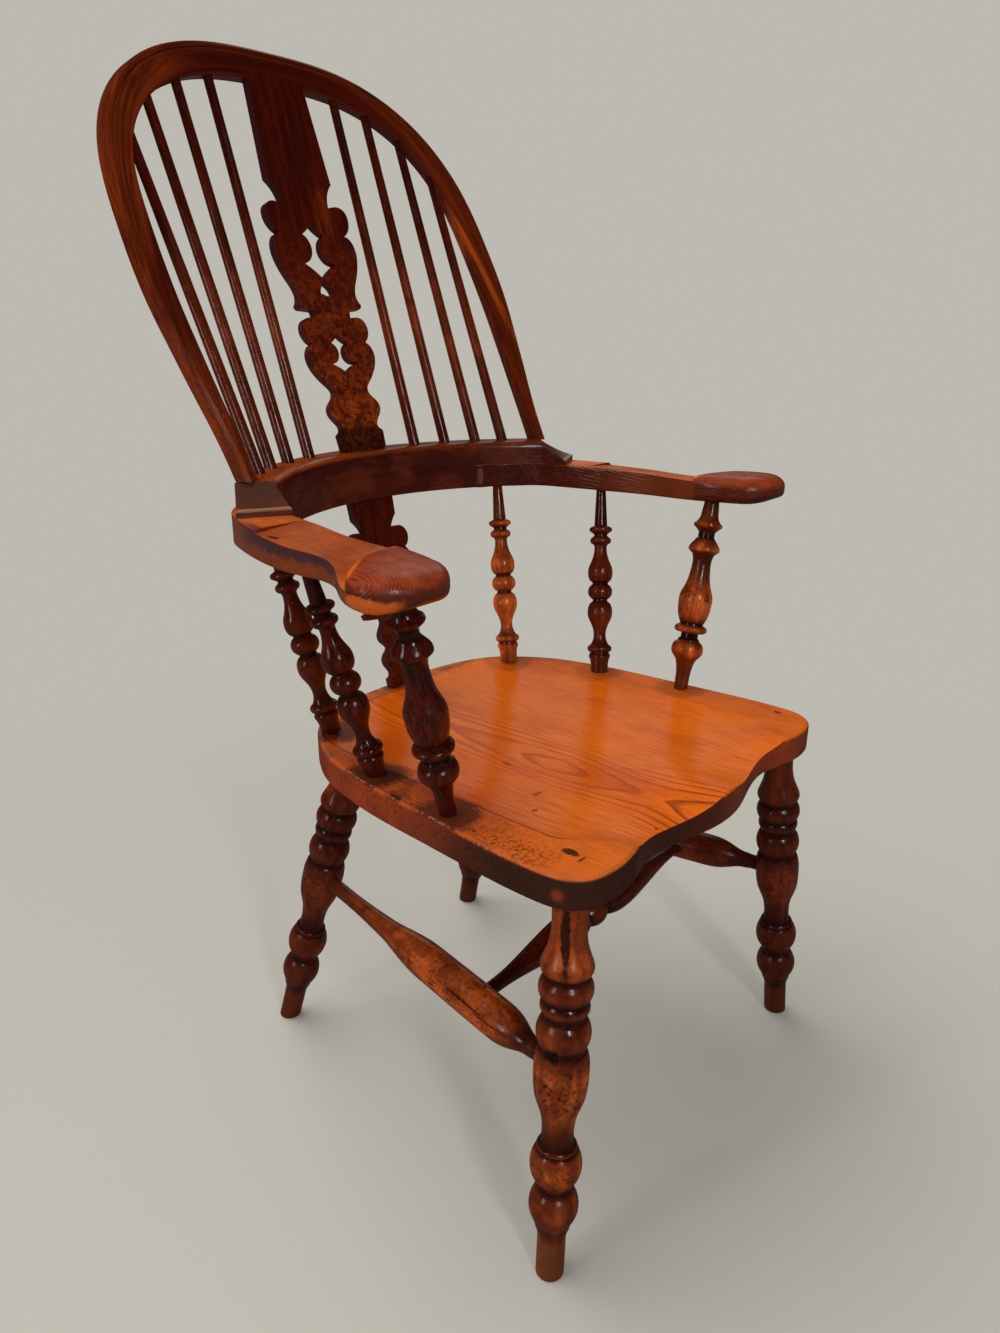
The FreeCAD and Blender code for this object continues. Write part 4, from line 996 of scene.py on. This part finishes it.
class CHAIR_OT_bow(PieceOperator, bpy.types.Operator):
    """Finish the arms, the back rail and the crest"""

    bl_idname = "chair.bow"
    bl_label = "Arm bow and crest"

    def execute(self, context):
        for side in SIDES:
            dress(f"arm_{side}", arm_wood, "chair_bent")
        for node in BOW_PIECES:
            dress(node, crest_wood, "chair_bent")
        return {"FINISHED"}


class CHAIR_OT_back(PieceOperator, bpy.types.Operator):
    """Finish the hoop, the sticks and the splats"""

    bl_idname = "chair.back"
    bl_label = "Hoop, sticks and splats"

    def execute(self, context):
        dress("back_hoop", hoop_wood, "chair_bent", name="bent_hoop_wood")
        for node in STICKS:
            dress_turned(node, STICK_BANDS)
        for node in SPLATS:
            dress(node, splat_wood, "chair_bent")
        return {"FINISHED"}


# Studio

# Distances at which the ground begins to hide the chair's shade from the camera, and hides it all
SHADE_REACH = (0.5, 1.5)
# How much of the ground is dim in reflections, and how far the floor lies under the feet
DIM_IN_REFLECTIONS = 0.85
FLOOR_DROP = 0.0002

# In reflections, the direction of the pale backdrop, and the cosines at which it begins and is full
BACKDROP_WAY = (0.733, 0.533, 0.423)
BACKDROP_EDGE = (0.945, 0.985)

# Yaw, pitch and roll of the camera in degrees
CAMERA_TURN = (-50.33, -19.94, 0.46)


def ground_material(settings):
    """Ground that keeps the shadow under the chair, runs into the backdrop and is dim in reflections."""
    material = bpy.data.materials.new("studio_ground")
    net = blank_net(material)
    colour = tuple(settings.ground)
    place = net.vector("MULTIPLY", net.position(), (1.0, 1.0, 0.0))
    far = net.step(net.vector("LENGTH", place), *SHADE_REACH, settings.flat, 1.0)
    lit = net.add("ShaderNodeBsdfDiffuse", {"Color": colour}).outputs[0]
    plain = net.add("ShaderNodeEmission", {"Color": colour}).outputs[0]
    dim = net.add("ShaderNodeEmission", {"Color": colour, "Strength": settings.room}).outputs[0]
    paths = net.add("ShaderNodeLightPath").outputs
    flat_share = net.times(far, paths["Is Camera Ray"])
    dim_share = net.times(paths["Is Glossy Ray"], DIM_IN_REFLECTIONS)
    seen = net.add("ShaderNodeMixShader", {0: flat_share, 1: lit, 2: plain}).outputs[0]
    mixed = net.add("ShaderNodeMixShader", {0: dim_share, 1: seen, 2: dim}).outputs[0]
    net.add("ShaderNodeOutputMaterial", {"Surface": mixed})
    return material


def world_light(settings):
    """Even light. In reflections the backdrop behind the chair is pale and the rest of the room is dark."""
    world = bpy.data.worlds.new("studio_air")
    net = blank_net(world)
    paths = net.add("ShaderNodeLightPath").outputs
    seen = net.most(paths["Is Camera Ray"], paths["Is Transmission Ray"])
    ways = net.add("ShaderNodeTexCoord").outputs["Generated"]
    room = net.step(net.vector("DOT_PRODUCT", ways, BACKDROP_WAY), *BACKDROP_EDGE, settings.room, 1.0)
    strength = net.step(paths["Is Glossy Ray"], 0.0, 1.0, settings.sky, room)
    strength = net.step(seen, 0.0, 1.0, strength, 1.0)
    back = net.add("ShaderNodeBackground", {"Color": tuple(settings.ground), "Strength": strength})
    net.add("ShaderNodeOutputWorld", {"Surface": back.outputs[0]})
    bpy.context.scene.world = world


def lamp(name, kind, place, target, energy, **settings):
    data = bpy.data.lights.new(name, kind)
    data.energy = energy
    for key, value in settings.items():
        setattr(data, key, value)
    stand = bpy.data.objects.new(name, data)
    bpy.context.scene.collection.objects.link(stand)
    stand.location = place
    stand.rotation_euler = (Vector(target) - Vector(place)).to_track_quat("-Z", "Y").to_euler()
    return stand


def stand_camera(settings):
    """Camera where the photographer stood, measured from the middle of the cross stretcher."""
    yaw, pitch, roll = (radians(angle) for angle in CAMERA_TURN)
    ahead = Vector((-sin(yaw) * cos(pitch), cos(yaw) * cos(pitch), sin(pitch)))
    level = Vector((cos(yaw), sin(yaw), 0.0))
    upright = level.cross(ahead)
    right = level * cos(roll) + upright * sin(roll)
    above = upright * cos(roll) - level * sin(roll)
    data = bpy.data.cameras.new("photo_camera")
    data.lens = settings.lens
    data.sensor_width = 36.0
    data.clip_start = 0.02
    camera = bpy.data.objects.new("photo_camera", data)
    bpy.context.scene.collection.objects.link(camera)
    turn = Matrix((right, above, -ahead)).transposed().to_4x4()
    low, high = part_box("cross_stretcher")
    middle = Vector((0.0, (low.y + high.y) / 2, 0.0))
    camera.matrix_world = Matrix.Translation(middle + Vector(settings.camera_place)) @ turn
    bpy.context.scene.camera = camera


class CHAIR_OT_studio(PieceOperator, bpy.types.Operator):
    """Lay the floor, hang the lamps and stand the camera where the photographer stood"""

    bl_idname = "chair.studio"
    bl_label = "Studio"

    def execute(self, context):
        settings = chosen("chair_studio")
        bpy.ops.mesh.primitive_plane_add(size=2.0 * settings.floor_half, location=(0.0, 0.0, -FLOOR_DROP))
        bpy.ops.object.transform_apply(location=True)
        floor = context.object
        floor.name = "studio_floor"
        floor.data.materials.append(ground_material(settings))
        world_light(settings)
        key = lamp("key", "SUN", (-0.5, 2.3, 3.4), (0.0, 0.0, 0.3), settings.sun, angle=radians(70.0))
        key.visible_glossy = False
        box = {"kind": "AREA", "target": (0.0, 0.0, 0.6), "shape": "RECTANGLE", "size_y": 1.2}
        lamp("front", place=(-1.4, -2.6, 1.9), energy=26.0, size=0.3, **box)
        lamp("side", place=(-2.6, 0.5, 1.3), energy=9.0, size=0.35, **box)
        stand_camera(settings)
        context.scene.view_settings.view_transform = "Standard"
        return {"FINISHED"}


STEPS = (CHAIR_OT_seat, CHAIR_OT_legs, CHAIR_OT_supports, CHAIR_OT_bow, CHAIR_OT_back, CHAIR_OT_studio)


class CHAIR_PT_panel(bpy.types.Panel):
    """The chair's finishes and studio"""

    bl_idname = "CHAIR_PT_panel"
    bl_label = "Armchair"
    bl_space_type = "VIEW_3D"
    bl_region_type = "UI"
    bl_category = "Armchair"

    def draw(self, context):
        for step in STEPS:
            self.layout.operator(step.bl_idname)
        for name, kind in GROUPS.items():
            box = self.layout.box()
            for key in kind.__annotations__:
                box.prop(getattr(context.scene, name), key)


def register():
    for name, kind in GROUPS.items():
        bpy.utils.register_class(kind)
        setattr(bpy.types.Scene, name, PointerProperty(type=kind))
    for kind in (*STEPS, CHAIR_PT_panel):
        bpy.utils.register_class(kind)


def unregister():
    for kind in (CHAIR_PT_panel, *reversed(STEPS)):
        bpy.utils.unregister_class(kind)
    for name, kind in GROUPS.items():
        delattr(bpy.types.Scene, name)
        bpy.utils.unregister_class(kind)


def main():
    register()
    bpy.ops.object.select_all(action="DESELECT")
    for make in (make_grain_group, make_turning_group, make_polish_group, make_rings_group):
        make()
    for step in STEPS:
        group, name = step.bl_idname.split(".")
        getattr(getattr(bpy.ops, group), name)()


if __name__ == "__main__":
    main()
